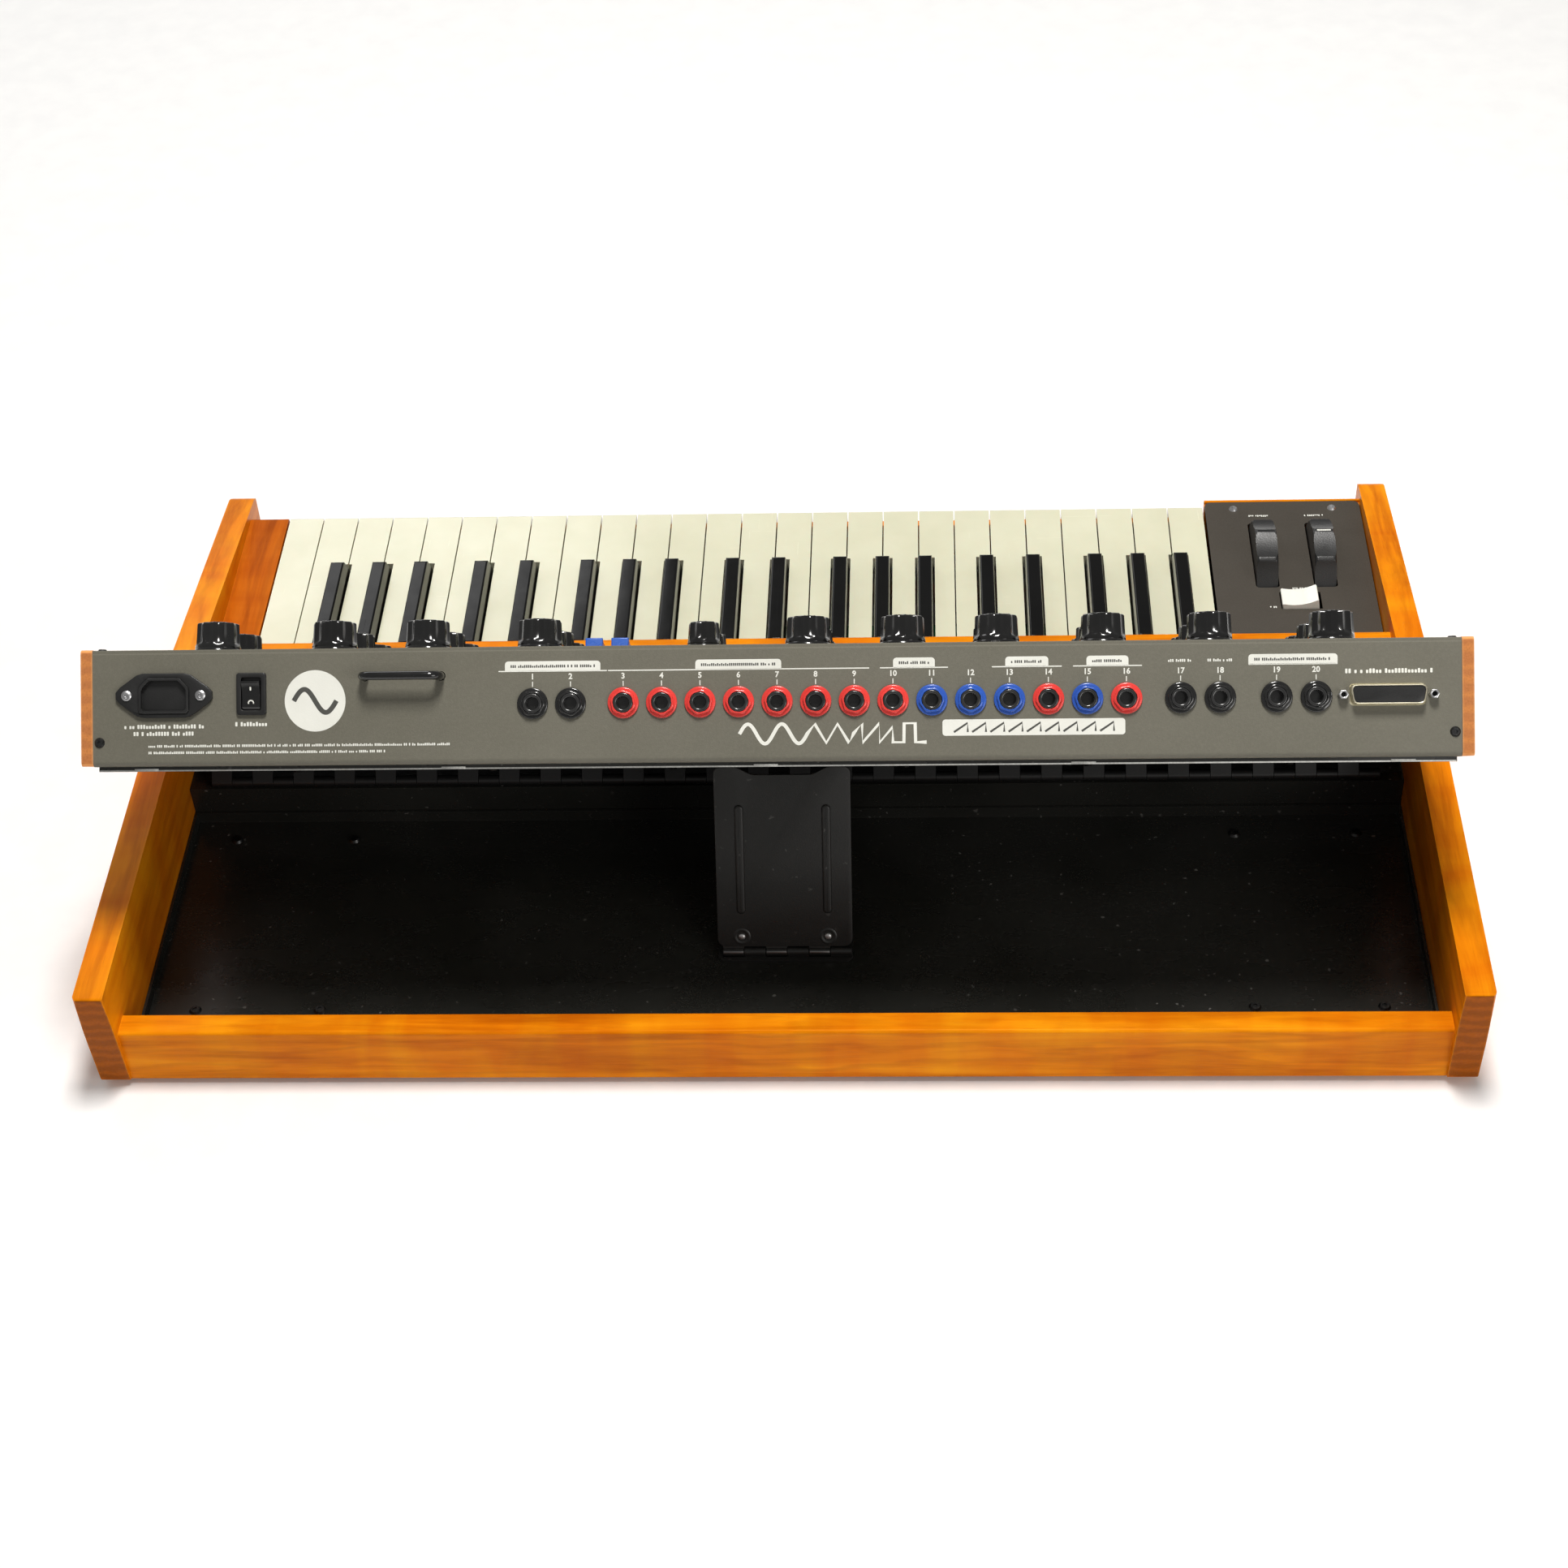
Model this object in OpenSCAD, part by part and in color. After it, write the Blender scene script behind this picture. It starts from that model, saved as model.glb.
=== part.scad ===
// Keyboard synthesizer with a hinged control panel that props up over a shallow wooden case.
// Front (keys) faces -Y, the treble end is +X, +Z is up, and the feet stand on z = 0.

/* [Case] */
// Overall width over the two wooden side panels
case_w = 775; // [760:1:790]
// Overall depth, front ends to rear corners of the side panels
case_d = 479; // [474:1:486]
// Thickness of each wooden side panel
side_t = 17; // [15:0.5:20]
// Height of the side panels over their level rear part
side_h = 78.2; // [72:0.1:84]
// Height of the side panels at their front end
side_front_h = 57; // [54:0.5:64]
// Height of the rubber feet
foot_h = 3; // [2:0.5:4]
// Height of the rear rail's top
rail_h = 42.4; // [38:0.1:44]
// Thickness of the rear rail
rail_t = 14.6; // [12:0.1:18]

/* [Control panel] */
// Tilt of the raised control panel, in degrees
panel_angle = 43.75; // [40:0.05:46]
// Width of the metal part of the control panel
panel_w = 726.4; // [720:0.1:727]
// Distance from the hinge pin back to the panel's rear face
panel_d = 219.8; // [215:0.1:222]
// Height of the panel's rear face
panel_h = 62.4; // [60:0.1:66]
// Slope of the control surface down towards the front, in degrees
face_slope = 4.5; // [2:0.5:6]
// Thickness of the wooden cheek on each end of the panel
cheek_t = 6.2; // [5:0.1:6.6]

/* [Keyboard] */
// Width of one white key with its gap
key_pitch = 23.5; // [23:0.1:24]
// Number of white keys
white_count = 26; // [26]
// Gap between neighbouring white keys
key_gap = 0.8; // [0.6:0.1:1.2]
// Height of the white keys' top above the floor
key_top = 53.4; // [52:0.1:55]
// Height of a black key's top above the white keys
black_rise = 11.6; // [10:0.1:12]

/* [Prop] */
// Width of the prop plate
prop_w = 78.8; // [70:0.1:80]
// Length of the prop plate from its hinge pin to its tip
prop_len = 113; // [110:0.5:113]

/* [Jacks] */
// Spacing of the jack sockets along the rear face
jack_pitch = 20.45; // [20:0.05:21]
// Radius of the hole that takes the plug
jack_bore_r = 3.25; // [3.2:0.05:3.3]

/* [Hidden] */
$fn = 48;

inner_x = case_w / 2 - side_t;
wood = [0.72, 0.38, 0.12];
wood_red = [0.55, 0.22, 0.1];
black = [0.06, 0.06, 0.06];
grey = [0.3, 0.29, 0.27];
steel = [0.6, 0.6, 0.62];
sheet = 1.5;

// Depths are given as a distance forward from the rear of the case.
function from_rear(s) = case_d / 2 - s;

rail_y = from_rear(6.9);
tray_floor = 7.5;
tray_back = rail_y - rail_t - 0.3;
kink_s = 292.5;
key_front_s = 456;
front_rail_s = 463.7;
strip_s = 313;
strip_d = 29;
strip_bottom = 58;
strip_top = 67;
deck_top = 65;
deck_step_s = 253.5;

hinge_y = from_rear(215.8);
hinge_z = 37.4;
knuckle_r = 3.2;
pin_r = 1.2;
pin_play = 0.06;
hinge_len = 711.2;
knuckle_step = 25.4;
leaf_t = 1.4;
ledge_play = 0.4;
ledge_z = hinge_z - knuckle_r - ledge_play;

panel_under = 8.1;
panel_top = panel_under + panel_h;
face_t = 2;
panel_front = -6;
bend_r = 3;

prop_y = from_rear(97);
prop_z = 10.5;
prop_lean = 28.2;
prop_ratio = (90 - prop_lean) / panel_angle;
prop_t = 2;
prop_leaf_t = 1.4;
prop_knuckle = 12.6;
prop_knuckle_r = 2.6;

key_left = 344 - white_count * key_pitch;
black_front_s = 405;
black_top_s = 395;
black_w = 11;
tail_s = 262;
pivot_s = 268;
pivot_z = 41;
pivot_r = 1.5;
pivot_play = 0.06;

// Pitch class of a white key, counted from C = 0, for a keyboard that starts on F.
function white_class(i) = (i + 3) % 7;
function has_black(i) = i >= 0 && i < white_count - 1 && white_class(i) != 2 && white_class(i) != 6;
black_shift = [-3.2, 3.2, 0, -4, 0, 4, 0];
function black_x(i) = key_left + (i + 1) * key_pitch + black_shift[white_class(i)];
function white_x(i) = key_left + i * key_pitch;

// The octave whose keys are separate pieces starts at this white key, a C.
octave_first = 11;
octave_last = octave_first + 6;
function in_octave(i) = i >= octave_first && i <= octave_last;

// Points of a polygon whose corners are rounded: each corner is [x, y, radius].
function unit(v) = v / norm(v);
function corner(a, b, c, r, steps) =
  let (u = unit([a[0] - b[0], a[1] - b[1]]), v = unit([c[0] - b[0], c[1] - b[1]]))
  let (half = acos(max(-1, min(1, u * v))) / 2, d = r / tan(half))
  let (centre = [b[0], b[1]] + unit(u + v) * r / sin(half))
  let (p = [b[0], b[1]] + u * d - centre, q = [b[0], b[1]] + v * d - centre)
  let (turn = 180 - 2 * half, side = sign(p[0] * q[1] - p[1] * q[0]))
  [for (k = [0:steps]) let (t = side * turn * k / steps)
    centre + [p[0] * cos(t) - p[1] * sin(t), p[0] * sin(t) + p[1] * cos(t)]];
function rounded(pts, steps = 5) = [for (i = [0:len(pts) - 1])
  let (a = pts[(i + len(pts) - 1) % len(pts)], b = pts[i], c = pts[(i + 1) % len(pts)])
  each (b[2] == 0 ? [[b[0], b[1]]] : corner(a, b, c, b[2], steps))];
function box_pts(w, h, r) = rounded([
  [-w / 2, -h / 2, r], [w / 2, -h / 2, r], [w / 2, h / 2, r], [-w / 2, h / 2, r]]);

// A prism along X from x0 to x1 whose outline is given as [y, z] points.
module along_x(x0, x1, pts) {
  translate([x0, 0, 0])
    rotate([90, 0, 90])
      linear_extrude(height = x1 - x0)
        polygon(pts);
}

// A prism along Y from y0 to y1 whose outline is given as [x, z] points.
module along_y(y0, y1, pts) {
  translate([0, y1, 0])
    rotate([90, 0, 0])
      linear_extrude(height = y1 - y0)
        polygon(pts);
}

module block(x0, x1, y0, y1, z0, z1) {
  translate([x0, y0, z0])
    cube([x1 - x0, y1 - y0, z1 - z0]);
}

module rod_x(x0, x1, y, z, r) {
  translate([x0, y, z])
    rotate([0, 90, 0])
      cylinder(r = r, h = x1 - x0);
}

// ---------------------------------------------------------------- case

side_pts = rounded([
  [from_rear(5.3), foot_h, 3],
  [from_rear(0), side_h, 1.5],
  [from_rear(kink_s), side_h, 0],
  [from_rear(case_d), side_front_h, 10],
  [from_rear(case_d), foot_h, 4]]);

module side_panel() {
  edge_r = 3;
  nose_r = 8;
  plan = rounded([
    [inner_x, from_rear(case_d), nose_r / 2], [case_w / 2, from_rear(case_d), nose_r],
    [case_w / 2, case_d / 2, edge_r], [inner_x, case_d / 2, edge_r / 2]]);
  front = rounded([
    [inner_x, foot_h, edge_r / 2], [case_w / 2, foot_h, edge_r],
    [case_w / 2, case_d, 0], [inner_x, case_d, 0]]);
  color(wood)
    intersection() {
      along_x(inner_x, case_w / 2, side_pts);
      linear_extrude(height = case_d)
        polygon(plan);
      along_y(-case_d, case_d, front);
    }
}

module side_panel_treble() {
  side_panel();
}

module side_panel_bass() {
  mirror([1, 0, 0])
    side_panel();
}

module rear_rail() {
  color(wood)
    along_x(-inner_x, inner_x, rounded([
      [rail_y, foot_h, 1.5], [rail_y, rail_h, 2],
      [rail_y - rail_t, rail_h, 1.5], [rail_y - rail_t, foot_h, 1]]));
}

// Low in front of the keys, and at the bass end a thin lip stands in front of the controller plate.
module front_rail() {
  low = 39;
  high = key_top - 0.4;
  front = from_rear(front_rail_s);
  back = front + 5.2;
  lip = 2;
  color(wood) {
    along_x(-inner_x, inner_x, rounded([
      [front, foot_h, 1], [front, low, 0.8], [back, low, 0.8], [back, foot_h, 0]]));
    along_x(-inner_x, plate_x1, rounded([
      [front, low - 2, 0], [front, high, 0.9], [front + lip, high, 0.7],
      [front + lip, plate_z - 0.3, 0], [back, plate_z - 0.3, 0], [back, low - 2, 0]]));
  }
}

module key_strip() {
  color(wood)
    along_x(-inner_x, inner_x, rounded([
      [from_rear(strip_s), strip_bottom, 0.8], [from_rear(strip_s), strip_top, 2.5],
      [from_rear(strip_s - strip_d), strip_top, 1.5], [from_rear(strip_s - strip_d), strip_bottom, 0.8]]));
}

module treble_block() {
  color(wood_red)
    along_x(white_x(white_count) + 0.8, inner_x, rounded([
      [from_rear(key_front_s), tray_floor + 0.5, 1], [from_rear(key_front_s), key_top, 1.5],
      [from_rear(strip_s - strip_d), key_top, 0], [from_rear(strip_s - strip_d), tray_floor + 0.5, 0]]));
}

module base_tray() {
  half = inner_x - 0.3;
  lip = 15;
  front = from_rear(212.5);
  color(black)
    difference() {
      block(-half, half, front, tray_back, tray_floor - sheet, lip);
      block(-half + sheet, half - sheet, front + sheet, tray_back - sheet, tray_floor, lip + 1);
    }
}

module bottom_plate() {
  color(black)
    block(-inner_x + 0.3, inner_x - 0.3, from_rear(458.2), from_rear(214.8), tray_floor - sheet, tray_floor);
}

module deck_plate() {
  z1 = deck_top;
  z2 = ledge_z;
  y0 = from_rear(strip_s - strip_d) + 0.2;
  y1 = from_rear(deck_step_s);
  y2 = from_rear(213);
  color(black)
    along_x(-inner_x + 0.3, inner_x - 0.3, [
      [y0, z1], [y1, z1], [y1, z2], [y2, z2], [y2, tray_floor - sheet],
      [y2 - sheet, tray_floor - sheet], [y2 - sheet, z2 - sheet], [y1 - sheet, z2 - sheet],
      [y1 - sheet, z1 - sheet], [y0, z1 - sheet]]);
}

// Knuckles of the long hinge: start is 0 or 1, so that the two leaves take turns.
module knuckles(start, bore) {
  for (i = [start:2:2 * hinge_len / knuckle_step - 1])
    translate([-hinge_len / 2 + i * knuckle_step / 2 + 0.2, 0, 0])
      difference() {
        rod_x(0, knuckle_step / 2 - 0.4, 0, 0, knuckle_r);
        if (bore > 0)
          rod_x(-1, knuckle_step / 2 + 1, 0, 0, bore);
      }
}

module hinge_case_leaf() {
  low = -knuckle_r - ledge_play;
  color(steel)
    translate([0, hinge_y, hinge_z]) {
      knuckles(0, 0);
      rod_x(-hinge_len / 2, hinge_len / 2, 0, 0, pin_r);
      block(-hinge_len / 2, hinge_len / 2, -24, -knuckle_r - 0.5, low, low + leaf_t);
      for (i = [0:2:2 * hinge_len / knuckle_step - 1])
        translate([-hinge_len / 2 + i * knuckle_step / 2 + 0.2, 0, 0])
          block(0, knuckle_step / 2 - 0.4, -knuckle_r - 1, 0, low, low + leaf_t);
    }
}

// The leaf screwed to the floor, slotted where the prop's own knuckles turn.
module prop_base_leaf() {
  slot_half = 3;
  color(black) {
    translate([0, prop_y, tray_floor])
      linear_extrude(height = prop_leaf_t)
        difference() {
          polygon(rounded([
            [-prop_w / 2, -22, 4], [prop_w / 2, -22, 4], [prop_w / 2, 5.6, 4], [-prop_w / 2, 5.6, 4]]));
          for (i = [1:2:5])
            translate([-prop_w / 2 + 0.2 + i * prop_knuckle, -slot_half])
              square([prop_knuckle + 0.4, 2 * slot_half]);
        }
    for (i = [0:2:5])
      translate([-prop_w / 2 + 0.4 + i * prop_knuckle, prop_y, 0])
        rod_x(0.2, prop_knuckle - 0.2, 0, prop_z, prop_knuckle_r);
    rod_x(-prop_w / 2 + 0.6, prop_w / 2 - 2.8, prop_y, prop_z, pin_r);
  }
}

module feet() {
  foot_y = case_d / 2 - 38.5;
  color(black)
    for (x = [-1, 1])
      for (y = [-1, 1])
        translate([x * (case_w / 2 - side_t / 2), y * foot_y, 0])
          cylinder(r = 7.5, h = foot_h);
}

module case_screws() {
  color(steel) {
    for (x = [-342, -269, 269, 342])
      for (s = [55, 195])
        translate([x, from_rear(s), tray_floor])
          difference() {
            cylinder(r1 = 3.6, r2 = 2.6, h = 1.4);
            translate([0, 0, 0.7])
              cylinder(r = 1.4, h = 2, $fn = 6);
          }
    for (x = plate_screw_x)
      for (s = plate_screw_s)
        translate([x, from_rear(s), key_top - 0.8])
          difference() {
            cylinder(r1 = 2.9, r2 = 2.2, h = 0.9);
            translate([0, 0, 0.3])
              cylinder(r = 1.1, h = 2, $fn = 6);
          }
    for (x = [-330, -170, 0, 170, 330])
      translate([x, hinge_y - 14, ledge_z + leaf_t])
        cylinder(r1 = 3, r2 = 2.2, h = 1.1);
  }
}

// ---------------------------------------------------------------- left hand controller

plate_x0 = -inner_x + 0.5;
plate_x1 = key_left - 1.5;
plate_t = 1.6;
plate_front_s = 461.5;
plate_z = key_top - 0.8 - plate_t;
plate_screw_x = [-351.5, -287];
plate_screw_s = [454.3, 320];
wheel_x = [-302.5, -339.5];
wheel_s = 406;
wheel_r = 33;
wheel_w = 13.8;
wheel_z = plate_z + plate_t - 13;
wheel_bore_r = 3.05;
glide_x = -322;
glide_s = 360;

module controller_plate() {
  color(black)
    difference() {
      translate([(plate_x0 + plate_x1) / 2, from_rear((plate_front_s + strip_s - 1) / 2), plate_z])
        linear_extrude(height = plate_t)
          polygon(box_pts(plate_x1 - plate_x0, plate_front_s - strip_s + 1, 4));
      for (x = wheel_x)
        translate([x, from_rear(wheel_s), plate_z - 1])
          linear_extrude(height = plate_t + 2)
            polygon(box_pts(wheel_w + 1.2, 66, 2.5));
      translate([glide_x, from_rear(glide_s), plate_z - 1])
        linear_extrude(height = plate_t + 2)
          polygon(box_pts(26, 17, 1));
    }
}

module wheel_frame() {
  base_z = tray_floor;
  uprights = [-352, wheel_x[1] + 10.5, wheel_x[0] - 10.5, -290];
  color(steel) {
    block(-357, -286, from_rear(436), from_rear(376), base_z, base_z + sheet);
    for (x = uprights)
      along_x(x - 1, x + 1, [
        [from_rear(420), base_z], [from_rear(392), base_z],
        [from_rear(399), wheel_z + 8], [from_rear(413), wheel_z + 8]]);
    rod_x(-360, -282, from_rear(wheel_s), wheel_z, 3);
    rod_x(-362, -352, from_rear(wheel_s), wheel_z, 8.5);
    rod_x(-290, -280, from_rear(wheel_s), wheel_z, 8.5);
  }
}

// A wheel is most of a disc, open below where the pot bracket's floor is, with shallow finger
// hollows round its rim.
module wheel(x) {
  finger_r = 60;
  finger_depth = 2.2;
  finger_step = 38;
  translate([x, from_rear(wheel_s), wheel_z])
    rotate([0, 90, 0])
      rotate([0, 0, 180])
        difference() {
          rotate_extrude($fn = 96)
            polygon(rounded([
              [wheel_bore_r, -wheel_w / 2, 0], [wheel_r, -wheel_w / 2, 2.2],
              [wheel_r, wheel_w / 2, 2.2], [wheel_bore_r, wheel_w / 2, 0]]));
          translate([-wheel_r * 2 - 9, -wheel_r * 2, -wheel_w])
            cube([wheel_r * 2, wheel_r * 4, wheel_w * 2]);
          for (k = [-1.5:1.5])
            rotate([0, 0, k * finger_step])
              translate([wheel_r - finger_depth + finger_r, 0, -wheel_w])
                cylinder(r = finger_r, h = wheel_w * 2, $fn = 128);
        }
}

module pitch_wheel() {
  color(black)
    wheel(wheel_x[1]);
}

module mod_wheel() {
  color(black)
    wheel(wheel_x[0]);
}

// A rocker cap with a hollowed top; it tips about an axis along its short side.
module rocker_cap(len, w, h, dish) {
  intersection() {
    linear_extrude(height = h)
      polygon(box_pts(len, w, 0.8));
    rotate([90, 0, 0])
      translate([0, 0, -w])
        linear_extrude(height = w * 2)
          difference() {
            polygon(rounded([
              [-len / 2, 0, 0], [len / 2, 0, 0], [len / 2, h, 1], [-len / 2, h, 1]]));
            translate([0, h + dish])
              circle(r = dish + 2, $fn = 96);
          }
  }
}

module glide_rocker() {
  color([0.92, 0.91, 0.88])
    translate([glide_x, from_rear(glide_s), plate_z - 3])
      rotate([0, 8, 0])
        translate([0, 0, -1])
          rocker_cap(23, 15.6, 10.5, 26);
}

// ---------------------------------------------------------------- keyboard

// Side outline of a white key as [y, z] points.
white_side = rounded([
  [from_rear(key_front_s), key_top - 19, 0.6],
  [from_rear(key_front_s), key_top, 1.6],
  [from_rear(tail_s + 30), key_top, 0],
  [from_rear(tail_s + 26), pivot_z + 7, 0],
  [from_rear(tail_s), pivot_z + 7, 0],
  [from_rear(tail_s), pivot_z - 7, 0],
  [from_rear(tail_s + 36), pivot_z - 7, 0],
  [from_rear(tail_s + 46), key_top - 8, 0],
  [from_rear(key_front_s - 8), key_top - 8, 0],
  [from_rear(key_front_s - 4), key_top - 19, 0.6]], 3);

// Top outline of white key i: full width in front, narrowed beside its black neighbours.
module white_plan(i) {
  x0 = white_x(i) + key_gap / 2;
  x1 = white_x(i + 1) - key_gap / 2;
  clear = black_w / 2 + 0.9;
  n0 = has_black(i - 1) ? black_x(i - 1) + clear : x0;
  n1 = has_black(i) ? black_x(i) - clear : x1;
  y0 = from_rear(key_front_s);
  y1 = from_rear(black_front_s) - 1.4;
  y2 = from_rear(tail_s);
  left = n0 > x0 ? [[n0, y1, 0.4], [x0, y1, 0.4]] : [];
  right = n1 < x1 ? [[x1, y1, 0.4], [n1, y1, 0.4]] : [];
  polygon(rounded(concat([[x0, y0, 0.8], [x1, y0, 0.8]], right, [[n1, y2, 0], [n0, y2, 0]], left), 3));
}

module white_key(i) {
  difference() {
    intersection() {
      along_x(white_x(i), white_x(i + 1), white_side);
      linear_extrude(height = 100)
        white_plan(i);
    }
    rod_x(white_x(i) - 1, white_x(i + 1) + 1, from_rear(pivot_s), pivot_z, pivot_r + pivot_play);
  }
}

black_side = rounded([
  [from_rear(black_front_s), key_top - 8, 0.4],
  [from_rear(black_top_s), key_top + black_rise, 3],
  [from_rear(strip_s + 1), key_top + black_rise, 0.6],
  [from_rear(strip_s + 1), key_top, 0],
  [from_rear(tail_s + 26), pivot_z + 7, 0],
  [from_rear(tail_s), pivot_z + 7, 0],
  [from_rear(tail_s), pivot_z - 7, 0],
  [from_rear(tail_s + 36), pivot_z - 7, 0],
  [from_rear(tail_s + 46), key_top - 8, 0]], 4);

module black_key(i) {
  half = black_w / 2;
  top_half = 4.3;
  difference() {
    intersection() {
      along_x(black_x(i) - half, black_x(i) + half, black_side);
      translate([black_x(i), 0, 0])
        along_y(-case_d, case_d, rounded([
          [-half, 0, 0], [half, 0, 0], [half, key_top - 1, 0],
          [top_half, key_top + black_rise, 1.2], [-top_half, key_top + black_rise, 1.2],
          [-half, key_top - 1, 0]], 4));
    }
    rod_x(black_x(i) - half - 1, black_x(i) + half + 1, from_rear(pivot_s), pivot_z, pivot_r + pivot_play);
  }
}

module ivory_key(i) {
  color([0.93, 0.92, 0.87])
    white_key(i);
}

module ebony_key(i) {
  color(black)
    black_key(i);
}

module white_keys() {
  for (i = [0:white_count - 1])
    if (!in_octave(i))
      ivory_key(i);
}

module black_keys() {
  for (i = [0:white_count - 2])
    if (has_black(i) && !in_octave(i))
      ebony_key(i);
}

module key_frame() {
  x0 = key_left - 1;
  x1 = white_x(white_count) + 0.6;
  z0 = tray_floor;
  rear = from_rear(256.5);
  color(steel) {
    difference() {
      block(x0, x1, from_rear(448), rear, z0, z0 + 14);
      block(x0 - 1, x1 + 1, from_rear(446.5), rear - sheet, z0 + sheet, z0 + 15);
    }
    for (x = [x0, x1 - 0.8])
      block(x, x + 0.8, from_rear(274), rear - sheet, z0 + sheet, pivot_z + 5);
  }
}

module key_pivot_rod() {
  color(steel)
    rod_x(key_left - 0.2, white_x(white_count) - 0.2, from_rear(pivot_s), pivot_z, pivot_r);
}

module contact_board() {
  z = tray_floor + sheet;
  color([0.1, 0.3, 0.15])
    block(key_left + 2, white_x(white_count) - 2, from_rear(384), from_rear(336), z + 4, z + 5.6);
  color(grey) {
    for (i = [0:white_count - 1])
      translate([white_x(i) + key_pitch / 2, from_rear(366), z + 5.6])
        cylinder(r1 = 5, r2 = 3.4, h = 5);
    for (i = [0:white_count - 2])
      if (has_black(i))
        translate([black_x(i), from_rear(348), z + 5.6])
          cylinder(r1 = 4.6, r2 = 3, h = 5);
    for (x = [key_left + 8, 0, white_x(white_count) - 8])
      translate([x, from_rear(379), z])
        cylinder(r = 3, h = 4);
    for (x = [key_left + 8, 0, white_x(white_count) - 8])
      translate([x, from_rear(339.5), z])
        cylinder(r = 3, h = 4);
  }
}

// One leaf spring under each key's tail, drawn just clear of the pressed key.
module leaf_spring(x) {
  z = tray_floor + sheet;
  leaf = 0.6;
  rise = 23;
  along_x(x - 2.5, x + 2.5, [
    [from_rear(322), z], [from_rear(312), z], [from_rear(312), z + leaf], [from_rear(317), z + leaf],
    [from_rear(288), z + rise], [from_rear(286), z + rise],
    [from_rear(286), z + rise + leaf], [from_rear(288.6), z + rise + leaf],
    [from_rear(317.6), z + 2 * leaf], [from_rear(319), z + leaf], [from_rear(322), z + leaf]]);
}

module key_springs() {
  color(steel) {
    for (i = [0:white_count - 1])
      leaf_spring(white_x(i) + key_pitch / 2 + (has_black(i) ? -3.2 : 0) + (has_black(i - 1) ? 3.2 : 0));
    for (i = [0:white_count - 2])
      if (has_black(i))
        leaf_spring(black_x(i));
  }
}

// ---------------------------------------------------------------- control panel

// Puts a child drawn for the folded panel, hinge pin at the origin, where the raised panel is.
module on_panel() {
  translate([0, hinge_y, hinge_z])
    rotate([panel_angle, 0, 0])
      children();
}

// On the rear face: x as in the whole, h above the face's lower edge, child's +Z outwards.
module on_rear(x, h) {
  on_panel()
    translate([x, panel_d, panel_under + h])
      rotate([90, 0, 180])
        children();
}

// On the control surface: s forward from its rear edge, child's +Z out of the surface.
module on_face(x, s) {
  on_panel()
    translate([x, panel_d - s * cos(face_slope), panel_top - s * sin(face_slope)])
      rotate([face_slope, 0, 0])
        children();
}

function surface_z(y) = panel_top - (panel_d - y) * tan(face_slope);

// Where the prop's tip lies in the panel's own frame when the panel has folded by some angle.
function prop_tip(fold) =
  let (lean = 90 + prop_lean + prop_ratio * fold, tilt = panel_angle - fold)
  let (y = prop_y + prop_len * cos(lean) - hinge_y, z = prop_z + prop_len * sin(lean) - hinge_z)
  [y * cos(tilt) + z * sin(tilt), z * cos(tilt) - y * sin(tilt)];

// The pocket in the panel's underside that lets the prop's tip swing past, grown by a clearance.
pocket_mid = [56, panel_under];
pocket_sweep = 29;
function pocket_pts(grow) = concat(
  [prop_tip(0) + [grow, -12]],
  [for (k = [0:8]) let (p = prop_tip(pocket_sweep * k / 8)) p + unit(p - pocket_mid) * grow],
  [prop_tip(pocket_sweep) + [-grow, -12]]);
pocket_play = 3.4;
pocket_w = prop_w + 8;

tray_pts = [
  [panel_front, panel_under, 1.5], [panel_d, panel_under, bend_r],
  [panel_d, panel_top - face_t, 0], [panel_front, surface_z(panel_front) - face_t, 0]];
inside_pts = [
  [panel_front + sheet, panel_under + sheet], [panel_d - sheet, panel_under + sheet],
  [panel_d - sheet, panel_top + 20], [panel_front + sheet, panel_top + 20]];

// Sockets on the rear face, as positions along X.
jack_h = 32;
jack_first = 77.3;
red_x = [for (i = [0, 1, 2, 3, 4, 5, 6, 7, 11, 13]) jack_first - i * jack_pitch];
blue_x = [for (i = [8, 9, 10, 12]) jack_first - i * jack_pitch];
black_jack_x = [125.7, 105.4, -216.9, -237.5, -266.9, -287.5];
jack_x = concat(red_x, blue_x, black_jack_x);
iec_x = 324;
iec_h = 38;
power_x = 276.8;
power_h = 38.5;
port_x = -324.6;
port_h = 32.8;
port_screw_gap = 47.04;
bar_x = 195.3;
bar_h = 47.2;
bar_half = 20.4;
bar_r = 2.4;

module panel_tray() {
  color(grey)
    on_panel()
      difference() {
        union() {
          difference() {
            along_x(-panel_w / 2, panel_w / 2, rounded(tray_pts));
            along_x(-panel_w / 2 + sheet, panel_w / 2 - sheet, inside_pts);
          }
          intersection() {
            along_x(-pocket_w / 2 - sheet, pocket_w / 2 + sheet, pocket_pts(pocket_play + sheet));
            block(-panel_w / 2, panel_w / 2, panel_front, panel_d, panel_under, panel_top - 10);
          }
        }
        along_x(-pocket_w / 2, pocket_w / 2, pocket_pts(pocket_play));
        rear_cuts();
      }
}

module rear_cuts() {
  translate([0, panel_d, panel_under])
    rotate([90, 0, 180])
      translate([0, 0, -5]) {
        for (x = jack_x)
          translate([-x, jack_h, 0])
            cylinder(r = 5.6, h = 10);
        translate([-iec_x, iec_h, 0])
          linear_extrude(height = 10)
            polygon(box_pts(28.2, 20.8, 2));
        translate([-power_x, power_h, 0])
          linear_extrude(height = 10)
            polygon(box_pts(13.6, 19.8, 0.5));
        translate([-port_x, port_h, 0])
          linear_extrude(height = 10)
            polygon(box_pts(39.6, 11.6, 2));
        for (side = [-1, 1])
          translate([-port_x + side * port_screw_gap / 2, port_h, 0])
            cylinder(r = 1.8, h = 10);
        for (side = [-1, 1])
          translate([-bar_x + side * bar_half, bar_h, 0])
            cylinder(r = bar_r + 0.2, h = 10);
      }
}

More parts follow.
